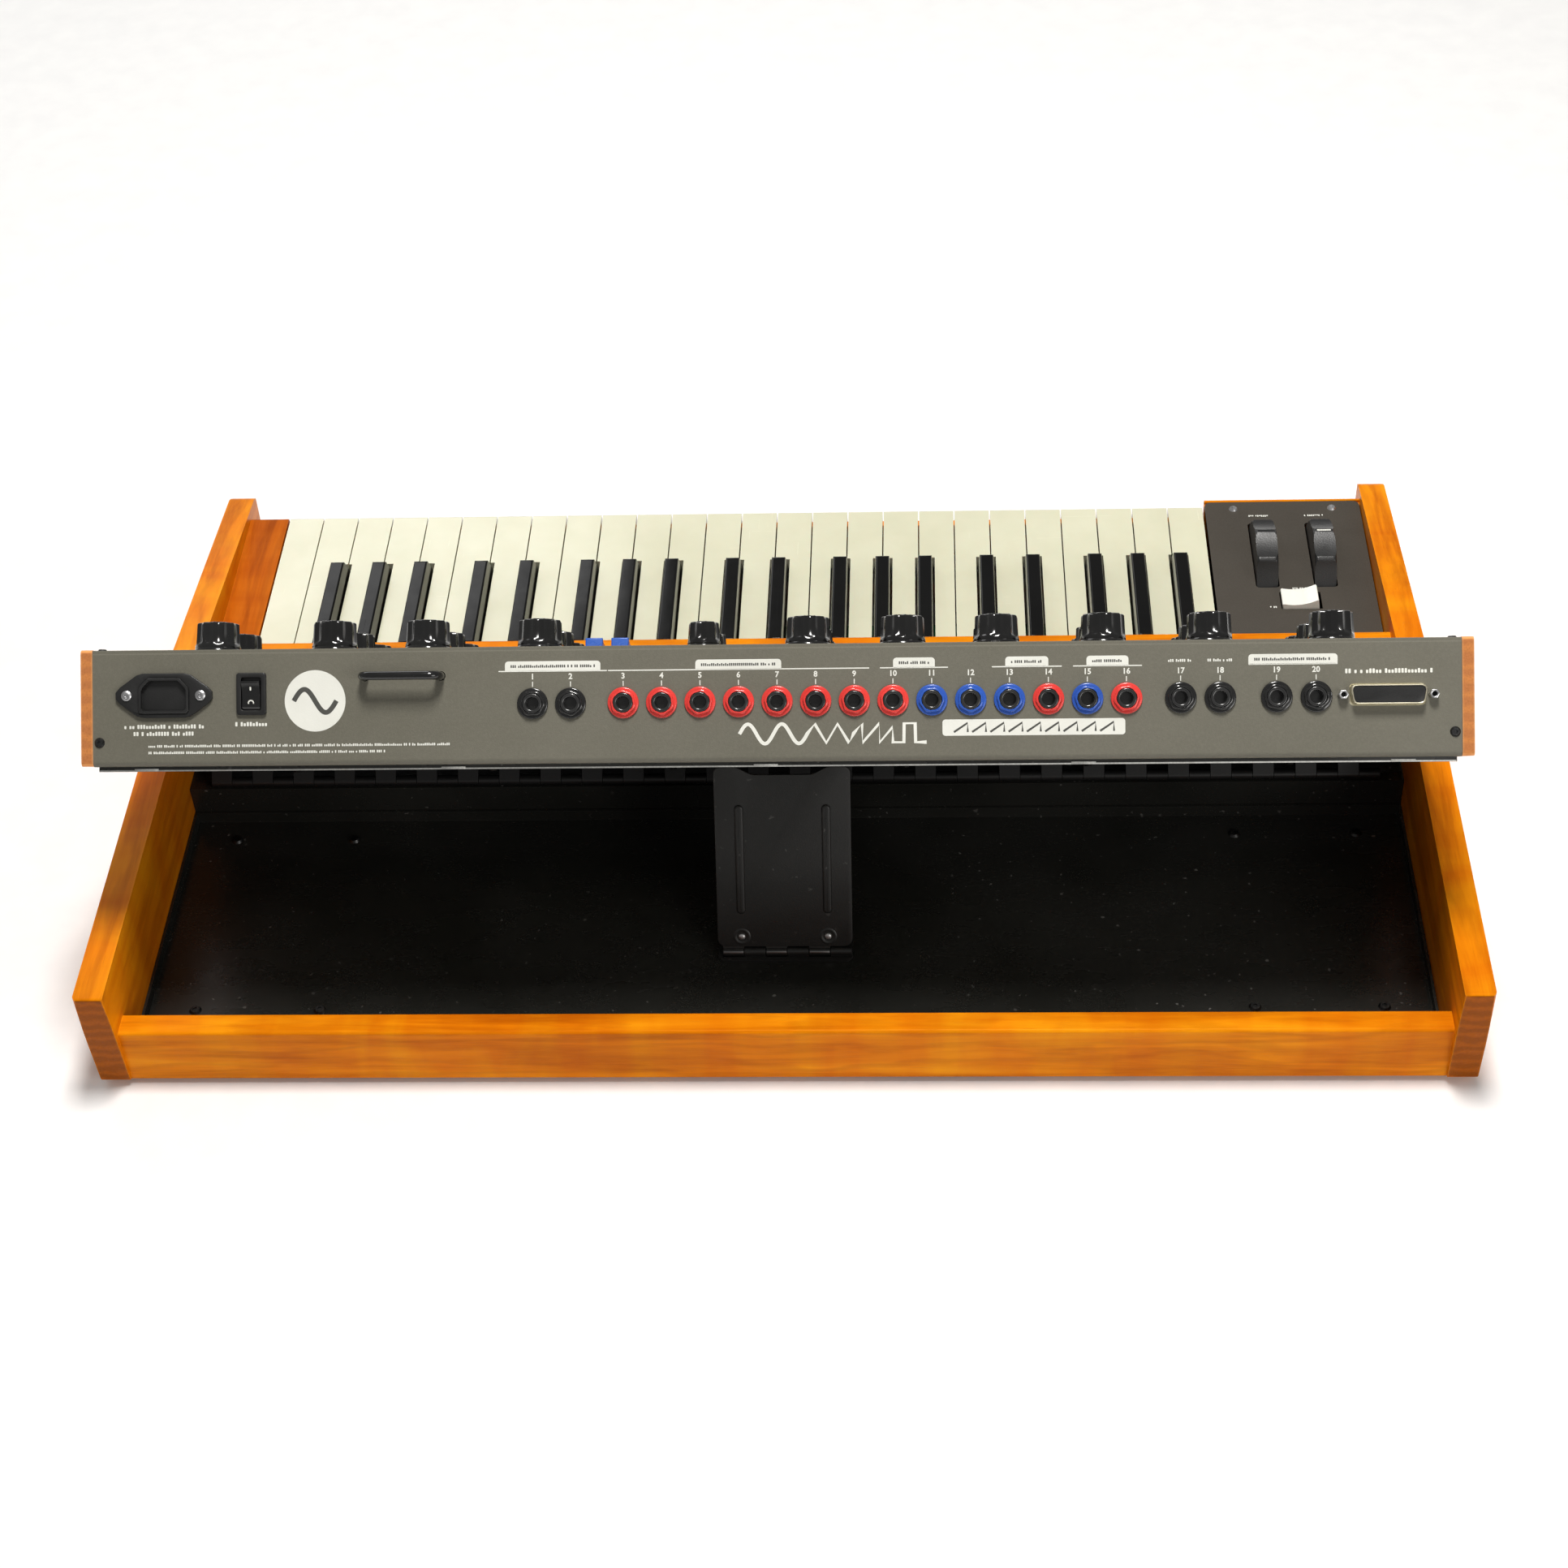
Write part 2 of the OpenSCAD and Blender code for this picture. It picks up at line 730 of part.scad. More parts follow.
// Knob columns as [x, number of rows, large or small].
knob_columns = [[301.8, 2, 1], [237.5, 4, 1], [186.4, 4, 1], [125.1, 3, 1], [36.3, 4, 0], [-19.9, 4, 1],
  [-70.9, 4, 1], [-121.2, 3, 1], [-178.1, 4, 1], [-234.7, 4, 1], [-299.5, 3, 1]];
row_first = 27;
row_pitch = 50;
function row_s(r) = row_first + r * row_pitch;
mixer_x = [95, 81];
mixer_s = 27;
shaft_r = 3;

module panel_face() {
  color(grey)
    difference() {
      on_panel()
        along_x(-panel_w / 2, panel_w / 2, [
          [panel_front, surface_z(panel_front)], [panel_front, surface_z(panel_front) - face_t],
          [panel_d, panel_top - face_t], [panel_d, panel_top]]);
      for (c = knob_columns)
        for (r = [0:c[1] - 1])
          on_face(c[0], row_s(r))
            translate([0, 0, -5])
              cylinder(r = 3.6, h = 10);
      for (x = mixer_x)
        on_face(x, mixer_s)
          translate([0, 0, -5])
            linear_extrude(height = 10)
              polygon(box_pts(10.6, 20.6, 0.6));
    }
}

module cheek(x0, x1) {
  color(wood_red)
    on_panel()
      along_x(x0, x1, rounded([
        [panel_front - 1, panel_under + 0.3, 2.5], [panel_d + 0.6, panel_under + 0.3, 2.5],
        [panel_d + 0.6, panel_top + 0.6, 2.5], [panel_front - 1, surface_z(panel_front) + 0.6, 2.5]]));
}

module cheek_treble() {
  cheek(panel_w / 2, panel_w / 2 + cheek_t);
}

module cheek_bass() {
  cheek(-panel_w / 2 - cheek_t, -panel_w / 2);
}

module hinge_panel_leaf() {
  color(steel)
    on_panel()
      difference() {
        union() {
          knuckles(1, 0);
          for (i = [1:2:2 * hinge_len / knuckle_step - 1])
            translate([-hinge_len / 2 + i * knuckle_step / 2 + 0.2, 0, 0])
              block(0, knuckle_step / 2 - 0.4, knuckle_r - leaf_t, knuckle_r, 0, panel_under - 0.2);
          for (side = [-1, 1])
            translate([side < 0 ? -hinge_len / 2 : pocket_w / 2 + 1, 0, 0])
              block(0, hinge_len / 2 - pocket_w / 2 - 1, -4, 20, panel_under - leaf_t, panel_under);
          block(-pocket_w / 2 - 2, pocket_w / 2 + 2, -4, 5, panel_under - leaf_t, panel_under);
        }
        rod_x(-hinge_len, hinge_len, 0, 0, pin_r + pin_play);
      }
}

// A round bar bent twice, fixed behind the sheet at both ends.
module lock_bar() {
  out = 11;
  bend = 5;
  straight = bar_half - bend;
  color(black)
    on_rear(bar_x, bar_h) {
      for (side = [-1, 1])
        translate([side * bar_half, 0, -4])
          cylinder(r = bar_r, h = out - bend + 4);
      for (side = [0, 180])
        rotate([0, 0, side])
          translate([straight, 0, out - bend])
            rotate([90, 0, 0])
              rotate_extrude(angle = 90)
                translate([bend, 0])
                  circle(r = bar_r);
      translate([-straight, 0, out])
        rotate([0, 90, 0])
          cylinder(r = bar_r, h = 2 * straight);
    }
}

module iec_inlet() {
  color(black)
    on_rear(iec_x, iec_h)
      difference() {
        union() {
          translate([0, 0, -26])
            linear_extrude(height = 27)
              polygon(box_pts(27.4, 20, 2));
          linear_extrude(height = 2.6)
            polygon(rounded([
              [-25.2, -3, 5], [-14.5, -11.3, 3], [14.5, -11.3, 3], [25.2, -3, 5],
              [25.2, 3, 5], [14.5, 11.3, 3], [-14.5, 11.3, 3], [-25.2, 3, 5]]));
        }
        translate([0, 0, -16])
          linear_extrude(height = 20)
            polygon(rounded([
              [-12, -8, 1], [12, -8, 1], [12, 4, 1], [8, 8, 1], [-8, 8, 1], [-12, 4, 1]]));
      }
  color(steel)
    on_rear(iec_x, iec_h) {
      for (p = [[-7, -2.6], [7, -2.6], [0, 2]])
        translate([p[0] - 1, p[1] - 2, -16.5])
          cube([2, 4, 11]);
      for (p = [-7, 0, 7])
        translate([p - 2, -1, -33])
          cube([4, 1, 7.5]);
      for (side = [-1, 1])
        translate([side * 20, 0, 2.6])
          cylinder(r1 = 3.4, r2 = 2.4, h = 1.1);
    }
}

module rocker_bezel() {
  color(black)
    on_rear(power_x, power_h)
      difference() {
        union() {
          translate([0, 0, -18])
            linear_extrude(height = 19)
              polygon(box_pts(13, 19.2, 0.5));
          linear_extrude(height = 2)
            polygon(box_pts(16, 22.6, 1.2));
        }
        translate([0, 0, -6])
          linear_extrude(height = 10)
            polygon(box_pts(10.6, 17.4, 0.4));
      }
}

module power_rocker() {
  color(black)
    on_rear(power_x, power_h)
      translate([0, 0, -1.5])
        rotate([9, 0, 0])
          rotate([0, 0, 90])
            translate([0, 0, -2.2])
              rocker_cap(15, 9.9, 7.6, 22);
}

module jack_sockets() {
  color(black)
    for (x = jack_x)
      on_rear(x, jack_h)
        difference() {
          union() {
            translate([-7, -8, -24])
              cube([14, 16, 22.4]);
            translate([0, 0, -2])
              cylinder(r = 5.3, h = 5.6);
          }
          translate([0, 0, -20])
            cylinder(r = jack_bore_r, h = 40);
        }
}

// A round collar with a hexagonal nut standing on it, as the panel nut of a jack.
module jack_nut(x) {
  on_rear(x, jack_h)
    difference() {
      union() {
        cylinder(r = 8.3, h = 1.6);
        translate([0, 0, 1.5])
          cylinder(r = 7.4, h = 1.9, $fn = 6);
      }
      translate([0, 0, -1])
        cylinder(r = 5.34, h = 8);
    }
}

module jack_nuts_red() {
  color([0.85, 0.15, 0.15])
    for (x = red_x)
      jack_nut(x);
}

module jack_nuts_blue() {
  color([0.1, 0.3, 0.8])
    for (x = blue_x)
      jack_nut(x);
}

module jack_nuts_black() {
  color(black)
    for (x = black_jack_x)
      jack_nut(x);
}

module accessory_port() {
  contact_step = 2.76;
  color([0.75, 0.7, 0.55])
    on_rear(port_x, port_h)
      difference() {
        union() {
          translate([0, 0, -sheet - 0.8])
            linear_extrude(height = 0.8)
              polygon(box_pts(53, 12.4, 2));
          translate([0, 0, -8])
            linear_extrude(height = 14)
              polygon(rounded([[-19.4, 4.8, 2], [19.4, 4.8, 2], [18, -4.8, 2], [-18, -4.8, 2]]));
          for (side = [-1, 1])
            translate([side * port_screw_gap / 2, 0, 0]) {
              translate([0, 0, -sheet - 0.8])
                cylinder(r = 1.6, h = 4);
              cylinder(r = 2.7, h = 5.2, $fn = 6);
            }
        }
        for (row = [0, 1])
          for (i = [0:12 - row])
            translate([(i - (12 - row) / 2) * contact_step, 1.4 - row * 2.8, 3])
              cylinder(r = 0.6, h = 5, $fn = 16);
        for (side = [-1, 1])
          translate([side * port_screw_gap / 2, 0, 2])
            cylinder(r = 1.4, h = 5);
      }
}

board_drop = 16;

module control_board() {
  color([0.08, 0.28, 0.12]) {
    on_face(0, 118)
      translate([-345, -88, -board_drop])
        cube([690, 176, 1.6]);
    on_panel()
      block(-300, 136, panel_d - 27.2, panel_d - 25.6, panel_under + 18, panel_under + 42);
  }
  color(black)
    for (c = [0:5])
      on_face(-310 + c * 112, 150)
        translate([0, 0, -board_drop - 3.2])
          cube([22, 12, 3.2]);
}

module power_supply() {
  color(steel)
    on_panel() {
      block(225, 345, 70, 160, panel_under + sheet, panel_under + sheet + 1.5);
      block(232, 292, 84, 146, panel_under + sheet + 1.5, panel_under + sheet + 25);
      for (i = [0:3])
        translate([304 + 10 * i, 100 + 14 * i, panel_under + sheet + 1.5])
          cylinder(r = 5, h = 20);
    }
}

module knob_pots() {
  color(steel)
    for (c = knob_columns)
      for (r = [0:c[1] - 1])
        on_face(c[0], row_s(r)) {
          translate([0, 0, -face_t - 12])
            cylinder(r = 8, h = 12);
          translate([0, 0, -face_t - 0.5])
            cylinder(r = shaft_r, h = 13);
        }
}

module panel_screws() {
  color(steel) {
    for (x = [-359.5, 359.5])
      on_rear(x, 13)
        pan_head();
    for (x = [-359, -120, 120, 359])
      for (s = [5, 220])
        on_face(x, s)
          pan_head();
    for (x = [-300, -180, -70, 70, 180, 300])
      on_panel()
        translate([x, 13, panel_under - 1.4])
          rotate([180, 0, 0])
            pan_head();
  }
}

module pan_head() {
  difference() {
    cylinder(r1 = 2.8, r2 = 2, h = 1.2);
    translate([0, 0, 0.6])
      cylinder(r = 1.1, h = 2, $fn = 6);
  }
}

// A fluted knob on a flared skirt, with a hole for its shaft.
module knob(large) {
  skirt_r = large ? 13 : 9.4;
  grip_r = large ? 11.6 : 8.2;
  tall = large ? 17.5 : 15.5;
  flutes = large ? 12 : 10;
  difference() {
    rotate_extrude()
      polygon(rounded([
        [0, 0.6, 0], [skirt_r, 0.6, 0.3], [skirt_r - 0.4, 2.4, 0.5], [grip_r + 0.6, 4, 0.4],
        [grip_r, tall, 1.2], [0, tall, 0]], 4));
    for (i = [0:flutes - 1])
      rotate([0, 0, (i + 0.5) * 360 / flutes])
        translate([grip_r + 1.5, 0, 5])
          cylinder(r = 2.2, h = 20);
    translate([0, 0, -1])
      cylinder(r = shaft_r + 0.05, h = 13);
    translate([-0.5, grip_r * 0.1, tall - 0.4])
      cube([1, grip_r * 0.7, 2]);
  }
}

module panel_knobs() {
  color(black)
    for (c = knob_columns)
      for (r = [0:c[1] - 1])
        if (!(c == knob_columns[0] && r == 0) && !(c == knob_columns[2] && r == 0))
          on_face(c[0], row_s(r))
            knob(c[2] == 1);
}

module volume_knob() {
  color(black)
    on_face(knob_columns[0][0], row_s(0))
      knob(true);
}

module cutoff_knob() {
  color(black)
    on_face(knob_columns[2][0], row_s(0))
      knob(true);
}

module mixer_rocker(x) {
  color([0.1, 0.3, 0.8])
    on_face(x, mixer_s)
      translate([0, 0, -1])
        rotate([8, 0, 0])
          rotate([0, 0, 90])
            translate([0, 0, -1.5])
              rocker_cap(18, 9.4, 8.4, 22);
}

module mixer_rocker_one() {
  mixer_rocker(mixer_x[0]);
}

module mixer_rocker_two() {
  mixer_rocker(mixer_x[1]);
}

// ---------------------------------------------------------------- prop

// Drawn flat along +Y from its pin, then leaned to where it holds the raised panel.
module prop_plate() {
  notch_top = 50.6;
  notch_low = 35;
  half = prop_w / 2;
  rib_x = 25.2;
  color(black)
    translate([0, prop_y, prop_z])
      rotate([90 + prop_lean, 0, 0])
        difference() {
          union() {
            translate([0, 0, -prop_t / 2])
              linear_extrude(height = prop_t)
                polygon(rounded([
                  [-half, 3.2, 5], [half, 3.2, 5], [half, prop_len - 1, 4],
                  [notch_top / 2, prop_len - 1, 3], [notch_low / 2, prop_len - 5.7, 4],
                  [-notch_low / 2, prop_len - 5.7, 4], [-notch_top / 2, prop_len - 1, 3],
                  [-half, prop_len - 1, 4]], 4));
            for (i = [1:2:5])
              translate([-half + 0.4 + i * prop_knuckle, 0, 0]) {
                rod_x(0.2, prop_knuckle - 0.2, 0, 0, prop_knuckle_r);
                block(0.2, prop_knuckle - 0.2, 0, 4, -prop_t / 2, prop_t / 2);
              }
            for (side = [-1, 1])
              translate([side * rib_x, 0, 0]) {
                translate([0, 55.5, -prop_t / 2 - 1.4])
                  linear_extrude(height = 2)
                    polygon(box_pts(5, 66, 2.4));
                translate([0, 8, -prop_t / 2 - 1.2])
                  cylinder(r = 2.8, h = 2);
              }
          }
          rod_x(-half - 1, half + 1, 0, 0, pin_r + pin_play);
        }
}

side_panel_treble();
side_panel_bass();
rear_rail();
front_rail();
key_strip();
treble_block();
base_tray();
bottom_plate();
deck_plate();
hinge_case_leaf();
prop_base_leaf();
feet();
controller_plate();
wheel_frame();
key_frame();
key_pivot_rod();
contact_board();
key_springs();
case_screws();
panel_tray();
panel_face();
cheek_treble();
cheek_bass();
hinge_panel_leaf();
lock_bar();
iec_inlet();
rocker_bezel();
jack_sockets();
jack_nuts_red();
jack_nuts_blue();
jack_nuts_black();
accessory_port();
control_board();
power_supply();
knob_pots();
panel_screws();
panel_knobs();
volume_knob();
cutoff_knob();
mixer_rocker_one();
mixer_rocker_two();
power_rocker();
prop_plate();
pitch_wheel();
mod_wheel();
glide_rocker();
white_keys();
black_keys();
ivory_key(octave_first);  // key_c
ebony_key(octave_first);  // key_c_sharp
ivory_key(octave_first + 1);  // key_d
ebony_key(octave_first + 1);  // key_d_sharp
ivory_key(octave_first + 2);  // key_e
ivory_key(octave_first + 3);  // key_f
ebony_key(octave_first + 3);  // key_f_sharp
ivory_key(octave_first + 4);  // key_g
ebony_key(octave_first + 4);  // key_g_sharp
ivory_key(octave_first + 5);  // key_a
ebony_key(octave_first + 5);  // key_a_sharp
ivory_key(octave_first + 6);  // key_b
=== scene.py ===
import math
import random

import bmesh
import bpy
from mathutils import Matrix, Vector


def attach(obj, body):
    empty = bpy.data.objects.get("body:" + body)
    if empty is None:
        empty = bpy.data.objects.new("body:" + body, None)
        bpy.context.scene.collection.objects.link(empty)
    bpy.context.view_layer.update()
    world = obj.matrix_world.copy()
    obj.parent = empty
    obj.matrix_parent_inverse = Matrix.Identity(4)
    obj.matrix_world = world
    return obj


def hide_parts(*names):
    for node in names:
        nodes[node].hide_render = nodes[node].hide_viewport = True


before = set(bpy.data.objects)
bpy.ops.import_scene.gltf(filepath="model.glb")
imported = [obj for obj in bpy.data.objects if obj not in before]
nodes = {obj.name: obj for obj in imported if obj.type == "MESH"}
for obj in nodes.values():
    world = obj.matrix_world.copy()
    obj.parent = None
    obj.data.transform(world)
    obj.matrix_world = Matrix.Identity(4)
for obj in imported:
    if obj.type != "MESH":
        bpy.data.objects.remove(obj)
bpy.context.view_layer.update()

MM = 0.001


# ---------------------------------------------------------------- camera, light and floor

def make_camera():
    yaw, pitch, roll = (math.radians(v) for v in (-4.13, 43.71, -3.29))
    forward = Vector((-math.sin(yaw) * math.cos(pitch), -math.cos(yaw) * math.cos(pitch), -math.sin(pitch)))
    right = Vector((-math.cos(yaw), math.sin(yaw), 0))
    up = right.cross(forward)
    x = math.cos(roll) * right + math.sin(roll) * up
    y = -math.sin(roll) * right + math.cos(roll) * up
    camera = bpy.data.objects.new("camera", bpy.data.cameras.new("camera"))
    camera.data.sensor_width = 36
    camera.data.lens = 63.45
    camera.data.clip_start = 0.05
    turn = Matrix((x, y, -forward)).transposed().to_4x4()
    camera.matrix_world = Matrix.Translation(Vector((-83.98, 1239.78, 1197.66)) * MM) @ turn
    bpy.context.scene.collection.objects.link(camera)
    bpy.context.scene.camera = camera


def area_light(name, place, aim, size, power, colour=(1, 1, 1)):
    data = bpy.data.lights.new(name, "AREA")
    data.shape = "RECTANGLE"
    data.size, data.size_y = size
    data.energy = power
    data.color = colour
    light = bpy.data.objects.new(name, data)
    light.location = place
    light.rotation_mode = "QUATERNION"
    light.rotation_quaternion = (Vector(aim) - Vector(place)).to_track_quat("-Z", "Y")
    bpy.context.scene.collection.objects.link(light)


def make_studio():
    scene = bpy.context.scene
    scene.view_settings.view_transform = "Standard"
    scene.view_settings.look = "None"
    world = bpy.data.worlds.new("studio")
    world.use_nodes = True
    world.node_tree.nodes["Background"].inputs["Color"].default_value = (1, 0.99, 0.97, 1)
    world.node_tree.nodes["Background"].inputs["Strength"].default_value = 0.26
    scene.world = world
    area_light("key_light", (-0.15, 0.02, 2.6), (0, 0.05, 0), (0.7, 0.5), 66, (1, 0.98, 0.95))
    area_light("rear_light", (-1.7, 2.0, 1.15), (0, 0.1, 0.05), (1.3, 0.9), 18, (1, 0.98, 0.95))
    area_light("front_light", (1.2, -2.2, 1.6), (0, 0, 0.05), (1.6, 0.9), 12)
    mesh = bpy.data.meshes.new("floor")
    half = 14
    mesh.from_pydata([(-half, -half, 0), (half, -half, 0), (half, half, 0), (-half, half, 0)], [], [(0, 1, 2, 3)])
    floor = bpy.data.objects.new("floor", mesh)
    scene.collection.objects.link(floor)
    look = Finish("floor_paper", Roughness=0.9)
    grain = look.noise(look.coords((1, 1, 1)), 40, 3)
    look.colour(look.ramp(grain, ((0.3, (0.86, 0.86, 0.86)), (0.7, (0.9, 0.9, 0.895)))))
    mesh.materials.append(look.material)


# ---------------------------------------------------------------- material graphs

class Finish:
    """A procedural material. Its methods add nodes and return the socket that carries the result."""

    def __init__(self, name, **fixed):
        self.material = bpy.data.materials.new(name)
        self.material.use_nodes = True
        self.tree = self.material.node_tree
        self.shader = self.tree.nodes["Principled BSDF"]
        for socket, value in fixed.items():
            self.shader.inputs[socket.replace("_", " ")].default_value = value
        self.relief = None

    def add(self, kind, settings, inputs):
        node = self.tree.nodes.new("ShaderNode" + kind)
        for key, value in settings.items():
            setattr(node, key, value)
        for key, value in inputs.items():
            if isinstance(value, bpy.types.NodeSocket):
                self.tree.links.new(value, node.inputs[key])
            else:
                node.inputs[key].default_value = value
        return node

    def coords(self, scale, turn=(0, 0, 0)):
        where = self.add("TexCoord", {}, {}).outputs["Object"]
        return self.add("Mapping", {}, {
            "Vector": where, "Scale": scale, "Rotation": [math.radians(a) for a in turn],
        }).outputs["Vector"]

    def normal(self):
        return self.add("TexCoord", {}, {}).outputs["Normal"]

    def noise(self, vector, scale, detail=4.0, roughness=0.5, distortion=0.0):
        return self.add("TexNoise", {}, {
            "Vector": vector, "Scale": scale, "Detail": detail, "Roughness": roughness, "Distortion": distortion,
        }).outputs["Fac"]

    def wave(self, vector, scale, distortion, detail, detail_scale, direction="Z"):
        return self.add("TexWave", {"wave_type": "BANDS", "bands_direction": direction}, {
            "Vector": vector, "Scale": scale, "Distortion": distortion, "Detail": detail,
            "Detail Scale": detail_scale,
        }).outputs["Fac"]

    def cells(self, vector, scale):
        return self.add("TexVoronoi", {}, {"Vector": vector, "Scale": scale}).outputs["Distance"]

    def ramp(self, value, stops):
        node = self.add("ValToRGB", {}, {"Fac": value})
        band = node.color_ramp
        while len(band.elements) < len(stops):
            band.elements.new(0.5)
        for element, (at, tone) in zip(band.elements, stops):
            element.position = at
            element.color = (*tone, 1) if len(tone) == 3 else (tone[0],) * 3 + (1,)
        return node.outputs["Color"]

    def levels(self, value, low, high, to_low=0.0, to_high=1.0):
        return self.add("MapRange", {}, {
            "Value": value, "From Min": low, "From Max": high, "To Min": to_low, "To Max": to_high,
        }).outputs["Result"]

    def maths(self, operation, a, b=0.0):
        return self.add("Math", {"operation": operation}, {0: a, 1: b}).outputs[0]

    def mix(self, fac, a, b, blend="MIX"):
        node = self.add("Mix", {"data_type": "RGBA", "blend_type": blend}, {0: fac})
        for index, value in ((6, a), (7, b)):
            if isinstance(value, bpy.types.NodeSocket):
                self.tree.links.new(value, node.inputs[index])
            else:
                node.inputs[index].default_value = (*value, 1)
        return node.outputs[2]

    def colour(self, value):
        self.tree.links.new(value, self.shader.inputs["Base Color"])

    def rough(self, value):
        self.tree.links.new(value, self.shader.inputs["Roughness"])

    def bump(self, height, depth):
        """depth is in metres for a height that goes from 0 to 1."""
        inputs = {"Height": height, "Distance": depth, "Strength": 1.0}
        if self.relief:
            inputs["Normal"] = self.relief
        self.relief = self.add("Bump", {}, inputs).outputs["Normal"]
        self.tree.links.new(self.relief, self.shader.inputs["Normal"])

    def edges(self, radius):
        """1 on a convex edge and 0 on a flat face."""
        soft = self.add("Bevel", {"samples": 4}, {"Radius": radius}).outputs["Normal"]
        hard = self.add("NewGeometry", {}, {}).outputs["Normal"]
        same = self.add("VectorMath", {"operation": "DOT_PRODUCT"}, {0: soft, 1: hard}).outputs["Value"]
        return self.levels(same, 0.995, 0.8)


def wood(name, along, light, mid, dark, end, turn=(0, 0, 0), figure=0.35, gloss=0.28):
    """Lacquered timber whose grain runs along the X or Y axis after the turn."""
    look = Finish(name, Specular_IOR_Level=0.16, Specular_Tint=(1, 0.45, 0.08, 1))
    long, wide = 1.0, 14.0
    stretch = (long, wide, wide) if along == "X" else (wide, long, wide)
    fine = look.coords(stretch, turn)
    plain = look.coords((1, 1, 1), turn)
    slow = look.coords((0.25, 1, 1) if along == "X" else (1, 0.25, 1), turn)
    tone = look.noise(fine, 5.5, 5, 0.55, 0.6)
    rings = look.wave(slow, 26, 9.0, 3.0, 1.6, "Z" if along == "X" else "X")
    fibre = look.noise(fine, 62, 6, 0.7)
    curl = look.noise(look.coords((3.0, 0.8, 0.8) if along == "X" else (0.8, 3.0, 0.8), turn), 9, 3, 0.5, 0.8)
    pores = look.noise(look.coords((6, 260, 260) if along == "X" else (260, 6, 260), turn), 9, 2, 0.6)
    base = look.ramp(tone, ((0.28, dark), (0.5, mid), (0.72, light)))
    base = look.mix(look.levels(rings, 0.55, 1.0, 0.0, 0.34), base, dark)
    base = look.mix(look.levels(fibre, 0.35, 0.7, 0.0, 0.22), base, light)
    base = look.mix(look.levels(curl, 0.35, 0.65, figure, 0.0), base, mid, "MULTIPLY")
    base = look.mix(look.levels(pores, 0.66, 0.74, 0.0, 0.4), base, dark)
    axis = look.add("SeparateXYZ", {}, {0: look.add("Mapping", {}, {
        "Vector": look.normal(), "Rotation": [math.radians(a) for a in turn],
    }).outputs["Vector"]}).outputs["X" if along == "X" else "Y"]
    facing = look.levels(look.maths("ABSOLUTE", axis), 0.8, 0.96)
    arcs = look.wave(plain, 40, 4.0, 3.0, 2.0, "Z")
    rough_end = look.mix(look.levels(arcs, 0.3, 1.0, 0.0, 0.6), end, dark)
    speck = look.noise(plain, 900, 3, 0.7)
    rough_end = look.mix(look.levels(speck, 0.45, 0.7, 0.0, 0.45), rough_end, [c * 0.4 for c in dark])
    base = look.mix(facing, base, rough_end)
    # Convex edges are painted paler towards the light tone: partly rubbed wear and partly a painted highlight.
    rubbed_and_highlit_edge = look.edges(0.0016)
    base = look.mix(look.maths("MULTIPLY", rubbed_and_highlit_edge, 0.35), base, light)
    look.colour(base)
    smear = look.noise(plain, 14, 4, 0.6)
    look.rough(look.levels(smear, 0.3, 0.75, gloss, gloss + 0.16))
    look.bump(look.levels(pores, 0.6, 0.75, 1.0, 0.0), 0.00006)
    look.bump(look.noise(plain, 60, 2), 0.00012)
    return look.material


def powder_coat(name, low, high, roughness=0.5, grain=0.00006, dust=0.0, sheen=0.5, wear_and_highlight=0.25):
    """Painted sheet metal: a fine orange-peel relief, faint smears, and paler edges that are partly rubbed wear and
    partly a painted highlight.
    """
    look = Finish(name, Specular_IOR_Level=sheen)
    plain = look.coords((1, 1, 1))
    peel = look.cells(plain, 1500)
    broad = look.noise(plain, 7, 5, 0.6)
    close = look.noise(plain, 700, 4, 0.7)
    base = look.ramp(look.levels(broad, 0.3, 0.7), ((0.0, low), (1.0, high)))
    base = look.mix(look.levels(close, 0.42, 0.7, 0.0, 0.16), base, [c * 1.7 + 0.004 for c in high])
    if dust:
        motes = look.noise(plain, 260, 2, 0.4)
        field = look.noise(plain, 3.5, 4, 0.65)
        amount = look.maths("MULTIPLY", look.levels(motes, 0.70, 0.76), look.levels(field, 0.4, 0.6))
        base = look.mix(look.maths("MULTIPLY", amount, dust), base, (0.35, 0.34, 0.32))
        film = look.levels(field, 0.42, 0.75, 0.0, dust * 0.12)
        base = look.mix(film, base, (0.3, 0.29, 0.27))
    # Paler convex edges: rubbed wear and a painted highlight.
    rubbed_and_highlit_edge = look.edges(0.0009)
    base = look.mix(look.maths("MULTIPLY", rubbed_and_highlit_edge, wear_and_highlight), base, [c * 2.2 + 0.03 for c in high])
    look.colour(base)
    rub = look.noise(look.coords((1, 2.5, 1)), 22, 4, 0.65)
    look.rough(look.levels(rub, 0.3, 0.75, roughness, roughness + 0.16))
    look.bump(peel, grain)
    look.bump(close, grain * 0.6)
    return look.material


